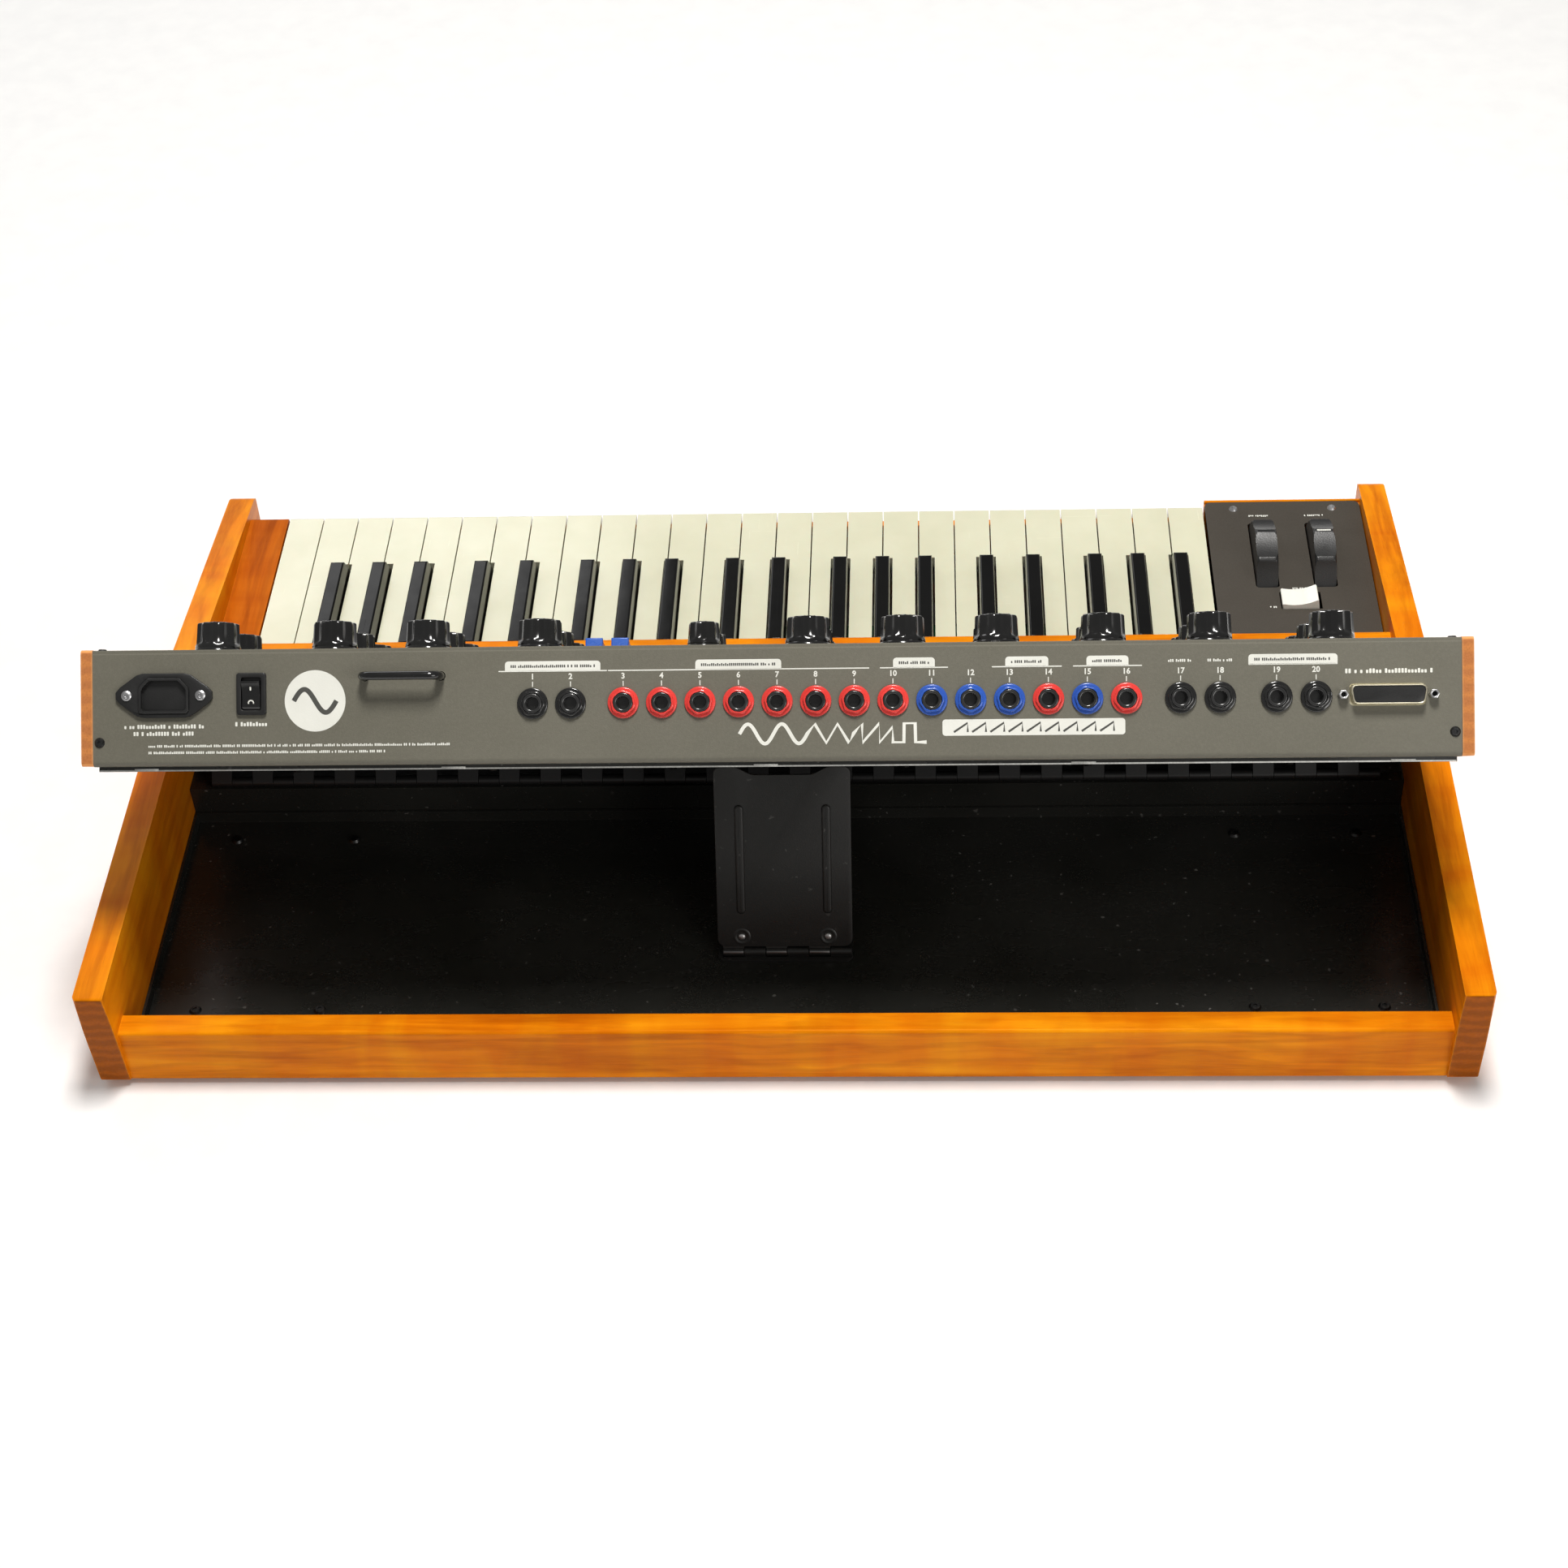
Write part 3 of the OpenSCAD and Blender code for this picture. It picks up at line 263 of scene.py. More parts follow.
def plastic(name, low, high, roughness=0.18, coat=0.0, scratch=0.5, wear_and_highlight=0.15, grain=0.0, subsurface=0.0,
            shine=0.5):
    """Moulded plastic: hairline scratches, finger smears and slightly paler edges, partly rubbed and partly a painted
    highlight.
    """
    fixed = {"Specular_IOR_Level": shine, "Coat_Weight": coat, "Coat_Roughness": 0.06}
    if subsurface:
        fixed.update(Subsurface_Weight=subsurface, Subsurface_Scale=0.004)
    look = Finish(name, **fixed)
    plain = look.coords((1, 1, 1))
    broad = look.noise(plain, 18, 4, 0.6)
    base = look.ramp(look.levels(broad, 0.3, 0.7), ((0.0, low), (1.0, high)))
    hair = look.noise(look.coords((900, 22, 900), (0, 0, 17)), 1, 2, 0.5)
    hair2 = look.noise(look.coords((18, 800, 800), (0, 0, -24)), 1, 2, 0.5)
    lines = look.maths("MAXIMUM", look.levels(hair, 0.68, 0.74), look.levels(hair2, 0.69, 0.75))
    lines = look.maths("MULTIPLY", lines, look.levels(broad, 0.45, 0.65))
    # Paler convex edges: rubbed wear and a painted highlight.
    rubbed_and_highlit_edge = look.edges(0.0005)
    base = look.mix(look.maths("MULTIPLY", rubbed_and_highlit_edge, wear_and_highlight), base, [min(1, c * 1.6 + 0.04) for c in high])
    look.colour(base)
    smear = look.noise(plain, 55, 5, 0.7, 0.4)
    value = look.levels(smear, 0.3, 0.75, roughness, roughness + 0.14)
    look.rough(look.maths("ADD", value, look.maths("MULTIPLY", lines, 0.25 * scratch)))
    look.bump(lines, -0.00001 * scratch)
    if grain:
        look.bump(look.cells(plain, 1100), grain)
    look.bump(look.noise(plain, 90, 2), 0.00003)
    return look.material


def metal(name, low, high, roughness=0.3, brush=(900, 12, 900), stain=(0.2, 0.16, 0.1)):
    """Bare or plated metal with a brushed direction and a little tarnish."""
    look = Finish(name, Metallic=1.0)
    plain = look.coords((1, 1, 1))
    lines = look.noise(look.coords(brush), 1, 4, 0.6)
    broad = look.noise(plain, 60, 4, 0.6)
    base = look.ramp(look.levels(lines, 0.3, 0.7), ((0.0, low), (1.0, high)))
    base = look.mix(look.levels(broad, 0.58, 0.75, 0.0, 0.35), base, stain)
    look.colour(base)
    look.rough(look.levels(broad, 0.3, 0.7, roughness, roughness + 0.2))
    look.bump(lines, 0.00002)
    return look.material


def circuit(name):
    """Solder mask over copper tracks."""
    look = Finish(name, Coat_Weight=0.4, Coat_Roughness=0.1)
    grid = look.add("TexBrick", {"offset": 0.5, "squash": 1.0}, {
        "Vector": look.coords((1, 1, 1)), "Scale": 90, "Mortar Size": 0.03,
        "Color1": (0.01, 0.09, 0.03, 1), "Color2": (0.012, 0.11, 0.035, 1), "Mortar": (0.03, 0.2, 0.07, 1),
    }).outputs["Color"]
    look.colour(grid)
    look.rough(look.levels(look.noise(look.coords((1, 1, 1)), 30), 0.3, 0.7, 0.3, 0.45))
    look.bump(look.cells(look.coords((1, 1, 1)), 300), 0.00005)
    return look.material


def rubber(name):
    look = Finish(name, Specular_IOR_Level=0.25)
    plain = look.coords((1, 1, 1))
    look.colour(look.ramp(look.noise(plain, 80), ((0.3, (0.012, 0.012, 0.012)), (0.7, (0.03, 0.03, 0.028)))))
    look.rough(look.levels(look.noise(plain, 200), 0.3, 0.7, 0.75, 0.92))
    look.bump(look.cells(plain, 900), 0.00008)
    return look.material


ORANGE = dict(light=(0.88, 0.33, 0.006), mid=(0.74, 0.22, 0.002), dark=(0.44, 0.10, 0.001), end=(0.27, 0.062, 0.001))
RED = dict(light=(0.95, 0.52, 0.22), mid=(0.88, 0.40, 0.15), dark=(0.62, 0.24, 0.07), end=(0.46, 0.17, 0.06))
PANEL_TILT = 43.75
WOOD_X = wood("wood_along_x", "X", **ORANGE)
WOOD_Y = wood("wood_along_y", "Y", **ORANGE)
CHEEK = wood("wood_cheek", "Y", turn=(-PANEL_TILT, 0, 0), **RED)
BLOCK = wood("wood_block", "Y", figure=0.3, gloss=0.5, light=(0.62, 0.17, 0.010), mid=(0.50, 0.11, 0.004),
             dark=(0.28, 0.05, 0.002), end=(0.22, 0.05, 0.003))
BLACK_SHEET = powder_coat("black_sheet_paint", (0.010, 0.0102, 0.0085), (0.015, 0.0152, 0.0130), 0.20, 0.00001, 0.5)
PROP_PAINT = powder_coat("prop_paint", (0.008, 0.008, 0.0075), (0.012, 0.012, 0.011), 0.36, 0.00003, 0.25)
# Near-black on the hinge stands in for the shade under the raised panel: painted shade.
HINGE_SHADE_BLACK = powder_coat("hinge_painted_shade", (0.006, 0.006, 0.006), (0.010, 0.010, 0.010), 0.34, 0.00002)
PANEL_PAINT = powder_coat("panel_paint", (0.112, 0.106, 0.080), (0.130, 0.123, 0.095), 0.46, 0.00004, wear_and_highlight=0.35)
CONTROLLER = powder_coat("controller_paint", (0.038, 0.031, 0.022), (0.047, 0.039, 0.029), 0.5, 0.00005)
STEEL = metal("bright_steel", (0.45, 0.45, 0.46), (0.68, 0.68, 0.69), 0.25)
# Bright steel used only for painted highlights on the hinge barrels and the prop's knuckles.
HIGHLIGHT_STEEL = metal("hinge_steel", (0.16, 0.16, 0.16), (0.28, 0.28, 0.28), 0.22, brush=(12, 900, 900))
DARK_STEEL = metal("dark_screw_steel", (0.03, 0.03, 0.03), (0.08, 0.08, 0.08), 0.35)
ZINC = metal("zinc_plate", (0.78, 0.72, 0.54), (0.94, 0.89, 0.70), 0.34, stain=(0.5, 0.42, 0.25))
LIP_HIGHLIGHT_STEEL = metal("pan_edge_highlight_steel", (0.42, 0.42, 0.40), (0.60, 0.60, 0.57), 0.4)
BRASS = metal("contact_metal", (0.5, 0.45, 0.35), (0.75, 0.7, 0.6), 0.2)
BLACK_GLOSS = plastic("knob_black", (0.004, 0.004, 0.004), (0.008, 0.008, 0.008), 0.09, coat=0.3, scratch=0.7)
BLACK_SATIN = plastic("moulded_black", (0.009, 0.009, 0.009), (0.016, 0.016, 0.016), 0.28, grain=0.00003)
KEY_BLACK = plastic("key_black", (0.003, 0.003, 0.003), (0.005, 0.005, 0.005), 0.10, scratch=0.5, shine=0.2)
KEY_WHITE = plastic("key_white", (0.61, 0.60, 0.44), (0.67, 0.66, 0.50), 0.14, coat=0.2, scratch=0.6, subsurface=0.05)
NUT_BLACK = plastic("nut_black", (0.006, 0.006, 0.006), (0.010, 0.010, 0.010), 0.12, coat=0.5)
BUSH = plastic("socket_bush", (0.012, 0.012, 0.012), (0.024, 0.024, 0.024), 0.16, coat=0.4)
NUT_RED = plastic("nut_red", (0.62, 0.035, 0.028), (0.74, 0.05, 0.04), 0.2, coat=0.2)
NUT_BLUE = plastic("nut_blue", (0.015, 0.07, 0.36), (0.025, 0.1, 0.46), 0.2, coat=0.2)
ROCKER_BLUE = plastic("rocker_blue", (0.02, 0.09, 0.42), (0.03, 0.12, 0.52), 0.22)
ROCKER_WHITE = plastic("rocker_white", (0.78, 0.77, 0.7), (0.86, 0.85, 0.78), 0.2, subsurface=0.05)
PRINT = plastic("pale_print", (0.66, 0.66, 0.6), (0.76, 0.76, 0.7), 0.45, scratch=0.3, grain=0.00002)
PRINT_DARK = plastic("dark_print", (0.05, 0.05, 0.045), (0.07, 0.07, 0.06), 0.45)
# Deep black stands in for the shade inside holes: painted shade.
HOLE_SHADE = plastic("painted_hole_shade", (0.002, 0.002, 0.002), (0.004, 0.004, 0.004), 0.5)
RUBBER = rubber("foot_rubber")
CIRCUIT = circuit("solder_mask")


# ---------------------------------------------------------------- frames of the object, in millimetres

HINGE_Y, HINGE_Z = 23.7, 37.4
PANEL_D, PANEL_UNDER, PANEL_H = 219.8, 8.1, 62.4
PANEL_TOP = PANEL_UNDER + PANEL_H
FACE_SLOPE = 4.5
ROW = Matrix.Scale(MM, 4)
PANEL = ROW @ Matrix.Translation((0, HINGE_Y, HINGE_Z)) @ Matrix.Rotation(math.radians(PANEL_TILT), 4, "X")


def rear_face(x, h, out=0.0):
    """x as in the whole, h above the rear face's lower edge; the frame's Z is outwards and its Y is up."""
    turn = Matrix.Rotation(math.pi, 4, "Z") @ Matrix.Rotation(math.pi / 2, 4, "X")
    return PANEL @ Matrix.Translation((x, PANEL_D, PANEL_UNDER + h)) @ turn @ Matrix.Translation((0, 0, out))


def top_face(x, s, out=0.0):
    """s forward from the surface's rear edge; the frame's Z is out of the surface."""
    slope = math.radians(FACE_SLOPE)
    place = Matrix.Translation((x, PANEL_D - s * math.cos(slope), PANEL_TOP - s * math.sin(slope)))
    return PANEL @ place @ Matrix.Rotation(slope, 4, "X") @ Matrix.Translation((0, 0, out))


def at(x, y, z):
    return ROW @ Matrix.Translation((x, y, z))


# ---------------------------------------------------------------- mesh building

def arc(cx, cy, r, start, stop, steps):
    return [(cx + r * math.cos(math.radians(start + (stop - start) * k / steps)),
             cy + r * math.sin(math.radians(start + (stop - start) * k / steps))) for k in range(steps + 1)]


def round_box(w, h, r, steps=5):
    """Outline of a box with rounded corners, counter-clockwise."""
    x, y = w / 2 - r, h / 2 - r
    return (arc(x, -y, r, -90, 0, steps) + arc(x, y, r, 0, 90, steps)
            + arc(-x, y, r, 90, 180, steps) + arc(-x, -y, r, 180, 270, steps))


def circle(r, steps=40):
    return [(r * math.cos(2 * math.pi * k / steps), r * math.sin(2 * math.pi * k / steps)) for k in range(steps)]


def inset(outline, d):
    """The outline moved inwards by d at every point."""
    moved = []
    n = len(outline)
    for k, (x, y) in enumerate(outline):
        ax, ay = outline[k - 1]
        bx, by = outline[(k + 1) % n]
        e = Vector((x - ax, y - ay)).normalized()
        f = Vector((bx - x, by - y)).normalized()
        normal = Vector((-e.y - f.y, e.x + f.x))
        if normal.length < 1e-6:
            normal = Vector((-e.y, e.x))
        normal.normalize()
        reach = d / max(0.35, normal.dot(Vector((-e.y, e.x))))
        moved.append((x + normal.x * reach, y + normal.y * reach))
    return moved


# Print stands this far proud of its surface and reaches this far into it. Digits are thickened by a
# share of their size.
PRINT_LIFT, PRINT_SUNK = 0.06, -0.02
LABEL_LIFT, LABEL_WEIGHT = 0.03, 0.028


class Build:
    """Collects shapes in millimetres, each put in place by a matrix, into one mesh."""

    def __init__(self):
        self.mesh = bmesh.new()

    def loft(self, rings, matrix, paint=0, cap_first=True, cap_last=True):
        """Joins rings of the same number of points."""
        rows = [[self.mesh.verts.new(matrix @ Vector(p)) for p in ring] for ring in rings]
        n = len(rows[0])
        for a, b in zip(rows, rows[1:]):
            for k in range(n):
                m = (k + 1) % n
                self.face((a[k], a[m], b[m], b[k]), paint)
        if cap_first:
            self.face(tuple(reversed(rows[0])), paint)
        if cap_last:
            self.face(tuple(rows[-1]), paint)

    def face(self, corners, paint):
        made = self.mesh.faces.new(corners)
        made.material_index = paint
        made.smooth = True

    def prism(self, outline, z0, z1, matrix, paint=0, edge=0.0, steps=3, foot=0.0):
        """The outline raised from z0 to z1, with a rounded upper edge and, where foot is set, a lower one."""
        rings = []
        if foot:
            for k in range(steps):
                t = math.pi / 2 * k / steps
                rings.append((foot * (1 - math.sin(t)), z0 + foot * (1 - math.cos(t))))
            rings.append((0, z0 + foot))
        else:
            rings.append((0, z0))
        if edge:
            rings.append((0, z1 - edge))
            for k in range(1, steps + 1):
                t = math.pi / 2 * k / steps
                rings.append((edge * (1 - math.cos(t)), z1 - edge * (1 - math.sin(t))))
        else:
            rings.append((0, z1))
        self.loft([[(x, y, z) for x, y in (inset(outline, d) if d else outline)] for d, z in rings], matrix, paint)

    def lathe(self, profile, matrix, paint=0, steps=48, radius=None, ends=(True, True)):
        """Profile points are (r, z); radius may change r by angle and height."""
        rings = []
        for r, z in profile:
            ring = []
            for k in range(steps):
                t = 2 * math.pi * k / steps
                rr = radius(r, z, t) if radius else r
                ring.append((rr * math.cos(t), rr * math.sin(t), z))
            rings.append(ring)
        self.loft(rings, matrix, paint, ends[0], ends[1])

    def tube(self, path, r, matrix, paint=0, steps=20):
        points = [Vector(p) for p in path]
        rings = []
        side = Vector((0, 1, 0))
        for k, p in enumerate(points):
            ahead = (points[min(k + 1, len(points) - 1)] - points[max(k - 1, 0)]).normalized()
            across = side.cross(ahead).normalized()
            third = ahead.cross(across)
            rings.append([p + r * (math.cos(2 * math.pi * q / steps) * across
                                   + math.sin(2 * math.pi * q / steps) * third) for q in range(steps)])
        self.loft(rings, matrix, paint)

    def ring(self, outer, inner, z0, z1, matrix, paint=0, edge=0.3):
        """A plate between two outlines that have the same number of points."""
        if edge:
            levels = [(outer, 0, z0), (outer, 0, z1 - edge), (outer, edge * 0.3, z1 - edge * 0.3), (outer, edge, z1),
                      (inner, -edge, z1), (inner, -edge * 0.3, z1 - edge * 0.3), (inner, 0, z1 - edge),
                      (inner, 0, z0)]
        else:
            levels = [(outer, 0, z0), (outer, 0, z1), (inner, 0, z1), (inner, 0, z0)]
        rings = [[(x, y, z) for x, y in (inset(line, d) if d else line)] for line, d, z in levels]
        self.loft(rings + [rings[0]], matrix, paint, False, False)

    def stroke(self, points, width, matrix, paint=0):
        """A flat line of constant width through (x, y) points."""
        rings = []
        for k, (x, y) in enumerate(points):
            before = Vector(points[max(k - 1, 0)])
            after = Vector(points[min(k + 1, len(points) - 1)])
            ahead = (after - before).normalized()
            nx, ny = -ahead.y * width / 2, ahead.x * width / 2
            left, right = (x + nx, y + ny), (x - nx, y - ny)
            rings.append([(*left, PRINT_SUNK), (*left, PRINT_LIFT), (*right, PRINT_LIFT), (*right, PRINT_SUNK)])
        self.loft(rings, matrix, paint)

    def bar(self, x0, x1, y0, y1, matrix, paint=0, r=0.3):
        middle = matrix @ Matrix.Translation(((x0 + x1) / 2, (y0 + y1) / 2, 0))
        self.prism(round_box(x1 - x0, y1 - y0, r, 3), PRINT_SUNK, PRINT_LIFT, middle, paint)

    def greek(self, x0, x1, y, tall, matrix, seed, paint=0):
        """A row of small plain ticks where a legend would be."""
        draw = random.Random(seed)
        x = x0
        wide = tall * 0.5
        while x < x1 - wide:
            if draw.random() < 0.18:
                x += wide * 1.1
            top = y + tall / 2 - draw.choice((0, 0, 0.28 * tall))
            self.bar(x, x + wide, y - tall / 2, top, matrix, paint, tall * 0.14)
            x += wide * 1.42

    def label(self, words, size, matrix, paint=0):
        """Generic digits or signs as thin raised print."""
        curve = bpy.data.curves.new("label", "FONT")
        curve.body = words
        curve.size = size
        curve.align_x = "CENTER"
        curve.align_y = "CENTER"
        curve.resolution_u = 2
        curve.extrude = LABEL_LIFT
        curve.offset = LABEL_WEIGHT * size
        holder = bpy.data.objects.new("label", curve)
        bpy.context.scene.collection.objects.link(holder)
        bpy.context.view_layer.update()
        flat = holder.evaluated_get(bpy.context.evaluated_depsgraph_get()).to_mesh()
        count = len(self.mesh.faces)
        copy = flat.copy()
        copy.transform(matrix)
        self.mesh.from_mesh(copy)
        self.mesh.verts.ensure_lookup_table()
        self.mesh.faces.ensure_lookup_table()
        for made in self.mesh.faces[count:]:
            made.material_index = paint
        bpy.data.meshes.remove(copy)
        bpy.data.objects.remove(holder)
        bpy.data.curves.remove(curve)

    def finish(self, name, body, paints, sharp=35, stands_for=()):
        bmesh.ops.remove_doubles(self.mesh, verts=self.mesh.verts, dist=1e-7)
        bmesh.ops.recalc_face_normals(self.mesh, faces=self.mesh.faces)
        mesh = bpy.data.meshes.new(name)
        self.mesh.to_mesh(mesh)
        self.mesh.free()
        mesh.set_sharp_from_angle(angle=math.radians(sharp))
        piece = bpy.data.objects.new(name, mesh)
        for paint in paints:
            mesh.materials.append(paint)
        bpy.context.scene.collection.objects.link(piece)
        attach(piece, body)
        if stands_for:
            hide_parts(*stands_for)
        return piece


# ---------------------------------------------------------------- CAD nodes that stay

def smooth_by_angle(limit):
    """A modifier group that smooths every edge that turns less than limit degrees."""
    group = bpy.data.node_groups.new("smooth_by_angle", "GeometryNodeTree")
    group.interface.new_socket("Geometry", in_out="INPUT", socket_type="NodeSocketGeometry")
    group.interface.new_socket("Geometry", in_out="OUTPUT", socket_type="NodeSocketGeometry")
    made = group.nodes.new
    start, end = made("NodeGroupInput"), made("NodeGroupOutput")
    faces, edges = made("GeometryNodeSetShadeSmooth"), made("GeometryNodeSetShadeSmooth")
    faces.domain, edges.domain = "FACE", "EDGE"
    angle, less = made("GeometryNodeInputMeshEdgeAngle"), made("FunctionNodeCompare")
    less.data_type, less.operation = "FLOAT", "LESS_THAN"
    less.inputs[1].default_value = math.radians(limit)
    link = group.links.new
    link(start.outputs[0], faces.inputs["Geometry"])
    link(faces.outputs[0], edges.inputs["Geometry"])
    link(angle.outputs["Unsigned Angle"], less.inputs[0])
    link(less.outputs[0], edges.inputs["Shade Smooth"])
    link(edges.outputs[0], end.inputs[0])
    return group


SMOOTH = smooth_by_angle(35)


def dress(name, paint, bevel=0.0, steps=2, second=None, chosen=None):
    """Gives a CAD node its paint, or the second one where chosen(x, y, z) in millimetres, and softens its edges."""
    node = nodes[name]
    node.data.materials.clear()
    node.data.materials.append(paint)
    if second:
        node.data.materials.append(second)
    if "custom_normal" in node.data.attributes:
        node.data.attributes.remove(node.data.attributes["custom_normal"])
    for face in node.data.polygons:
        face.material_index = 0
        if second and chosen(*(node.matrix_world @ face.center / MM)):
            face.material_index = 1
        face.use_smooth = True
    weld = node.modifiers.new("weld", "WELD")
    weld.merge_threshold = 0.000002
    flat = node.modifiers.new("flat", "DECIMATE")
    flat.decimate_type = "DISSOLVE"
    flat.angle_limit = math.radians(0.4)
    if bevel:
        edge = node.modifiers.new("edge", "BEVEL")
        edge.width = bevel * MM
        edge.segments = steps
        edge.limit_method = "ANGLE"
        edge.angle_limit = math.radians(38)
        edge.use_clamp_overlap = True
    node.modifiers.new("smooth", "NODES").node_group = SMOOTH
    even = node.modifiers.new("even", "WEIGHTED_NORMAL")
    even.keep_sharp = True


for name in ("side_panel_treble", "side_panel_bass"):
    dress(name, WOOD_Y)
for name in ("rear_rail", "front_rail", "key_strip"):
    dress(name, WOOD_X)
dress("treble_block", BLOCK)
dress("cheek_treble", CHEEK)
dress("cheek_bass", CHEEK)
for name in ("base_tray", "bottom_plate", "deck_plate"):
    dress(name, BLACK_SHEET)
dress("panel_tray", PANEL_PAINT)
dress("panel_face", PANEL_PAINT)
dress("controller_plate", CONTROLLER, 0.6, 3)


def under_barrel(x, y, z):
    """True on the thin band low on the hinge's barrels that is painted bright steel as a painted highlight."""
    turn = math.degrees(math.atan2(z - HINGE_Z, y - HINGE_Y))
    return 2.6 < math.hypot(y - HINGE_Y, z - HINGE_Z) < 3.4 and -58 < turn < -14


# The hinge is near-black as painted shade, with a low band of its barrels bright as a painted highlight.
dress("hinge_case_leaf", HINGE_SHADE_BLACK)
dress("hinge_panel_leaf", HINGE_SHADE_BLACK, second=HIGHLIGHT_STEEL, chosen=under_barrel)
for name in ("wheel_frame", "key_frame", "key_pivot_rod", "key_springs", "power_supply", "knob_pots"):
    dress(name, STEEL)
dress("case_screws", DARK_STEEL, second=STEEL, chosen=lambda x, y, z: z > 45)
dress("panel_screws", DARK_STEEL)
dress("feet", RUBBER)
dress("contact_board", CIRCUIT)
dress("control_board", CIRCUIT)
dress("prop_base_leaf", PROP_PAINT)
for name in ("pitch_wheel", "mod_wheel"):
    dress(name, BLACK_SATIN)
dress("mixer_rocker_one", ROCKER_BLUE)
dress("mixer_rocker_two", ROCKER_BLUE)
dress("glide_rocker", ROCKER_WHITE)
for name in nodes:
    if name == "white_keys" or (name.startswith("key_") and name[4:] in ("c", "d", "e", "f", "g", "a", "b")):
        dress(name, KEY_WHITE, 0.35)
    if name == "black_keys" or name.endswith("_sharp"):
        dress(name, KEY_BLACK, 0.3)

# ---------------------------------------------------------------- knobs

KNOB_COLUMNS = ((301.8, 2, True), (237.5, 4, True), (186.4, 4, True), (125.1, 3, True), (36.3, 4, False),
                (-19.9, 4, True), (-70.9, 4, True), (-121.2, 3, True), (-178.1, 4, True), (-234.7, 4, True),
                (-299.5, 3, True))
ROW_FIRST, ROW_PITCH = 27, 50


def knob_shape(build, matrix, large):
    """A fluted grip on a flared skirt, with a dished cap and a pointer line; it turns about the frame's Z."""
    skirt, grip, tall = (13.0, 11.6, 17.5) if large else (9.4, 8.2, 15.5)
    flutes = 12 if large else 10
    depth = 1.15 if large else 0.95

    def fluted(r, z, t):
        if z < 5.2 or r < grip - 2.2:
            return r
        rise = min(1.0, (z - 5.2) / 1.6)
        hollow = abs(math.sin(flutes * t / 2))
        return r - depth * rise * hollow * min(1.0, (r - grip + 2.2) / 1.2)

    profile = [(3.0, 0.7), (skirt - 0.6, 0.62), (skirt - 0.15, 0.8), (skirt, 1.2), (skirt - 0.1, 2.0),
               (skirt - 0.35, 2.7), (skirt - 0.75, 3.3), (grip + 0.75, 3.9), (grip + 0.62, 4.5), (grip + 0.58, 5.2),
               (grip + 0.5, 5.9), (grip + 0.42, 7.0), (grip + 0.2, 11.0), (grip, tall - 1.3),
               (grip - 0.12, tall - 0.75), (grip - 0.42, tall - 0.32), (grip - 0.9, tall - 0.08),
               (grip - 1.4, tall), (grip - 2.3, tall), (grip - 2.7, tall - 0.12), (grip - 2.9, tall - 0.4),
               (grip - 3.1, tall - 0.52), (1.5, tall - 0.45), (0.02, tall - 0.44)]
    build.lathe(profile, matrix, 0, flutes * 12, fluted)
    line = [(-0.45, 0.5), (0.45, 0.5), (0.45, grip - 3.3), (-0.45, grip - 3.3)]
    build.prism(line, tall - 0.5, tall - 0.36, matrix, 1)
    build.prism([(-0.45, grip - 2.2), (0.45, grip - 2.2), (0.45, grip - 1.5), (-0.45, grip - 1.5)],
                tall - 0.2, tall + 0.0, matrix, 1)


def make_knobs():
    others = Build()
    for x, rows, large in KNOB_COLUMNS:
        for r in range(rows):
            place = top_face(x, ROW_FIRST + r * ROW_PITCH)
            turn = random.Random(int(x * 10) + r).uniform(-120, 120)
            if r == 0 and x in (301.8, 186.4):
                single = Build()
                knob_shape(single, place, large)
                name = "volume_knob" if x > 300 else "cutoff_knob"
                single.finish(name + "_fluted", name, (BLACK_GLOSS, PRINT), 38, (name,))
            else:
                knob_shape(others, place @ Matrix.Rotation(math.radians(turn), 4, "Z"), large)
    others.finish("panel_knobs_fluted", "control_panel", (BLACK_GLOSS, PRINT), 38, ("panel_knobs",))


# ---------------------------------------------------------------- rear face

JACK_H, JACK_PITCH, JACK_FIRST = 32, 20.45, 77.3
RED_X = [JACK_FIRST - i * JACK_PITCH for i in (0, 1, 2, 3, 4, 5, 6, 7, 11, 13)]
BLUE_X = [JACK_FIRST - i * JACK_PITCH for i in (8, 9, 10, 12)]
BLACK_X = [125.7, 105.4, -216.9, -237.5, -266.9, -287.5]
IEC, POWER, PORT, BAR = (324, 38), (276.8, 38.5), (-324.6, 32.8), (195.3, 47.2)
BAR_HALF = 20.4
BORE = 3.25


def jack_nut(build, x, turn):
    """A flanged hexagonal panel nut with rounded corners over a thin collar."""
    place = rear_face(x, JACK_H) @ Matrix.Rotation(turn, 4, "Z")
    collar = [(5.42, 0.0), (8.1, 0.0), (8.3, 0.25), (8.3, 0.9), (8.22, 1.2), (8.0, 1.45), (7.6, 1.6), (5.42, 1.6)]
    build.lathe(collar + [collar[0]], place, 0, 60, None, (False, False))

    def hexagon(r, z, t):
        if r < 5.8:
            return r
        folded = (t + math.pi / 6) % (math.pi / 3) - math.pi / 6
        flat = 6.35 / math.cos(folded)
        crown = 7.05 - max(0.0, z - 2.5) * 0.5
        return min(flat, crown) - (7.0 - r)

    nut = [(5.42, 1.55), (7.0, 1.55), (7.0, 2.7), (6.93, 3.0), (6.75, 3.22), (6.45, 3.35), (6.0, 3.4),
           (5.7, 3.38), (5.5, 3.25), (5.42, 3.0)]
    build.lathe(nut + [nut[0]], place, 0, 72, hexagon, (False, False))


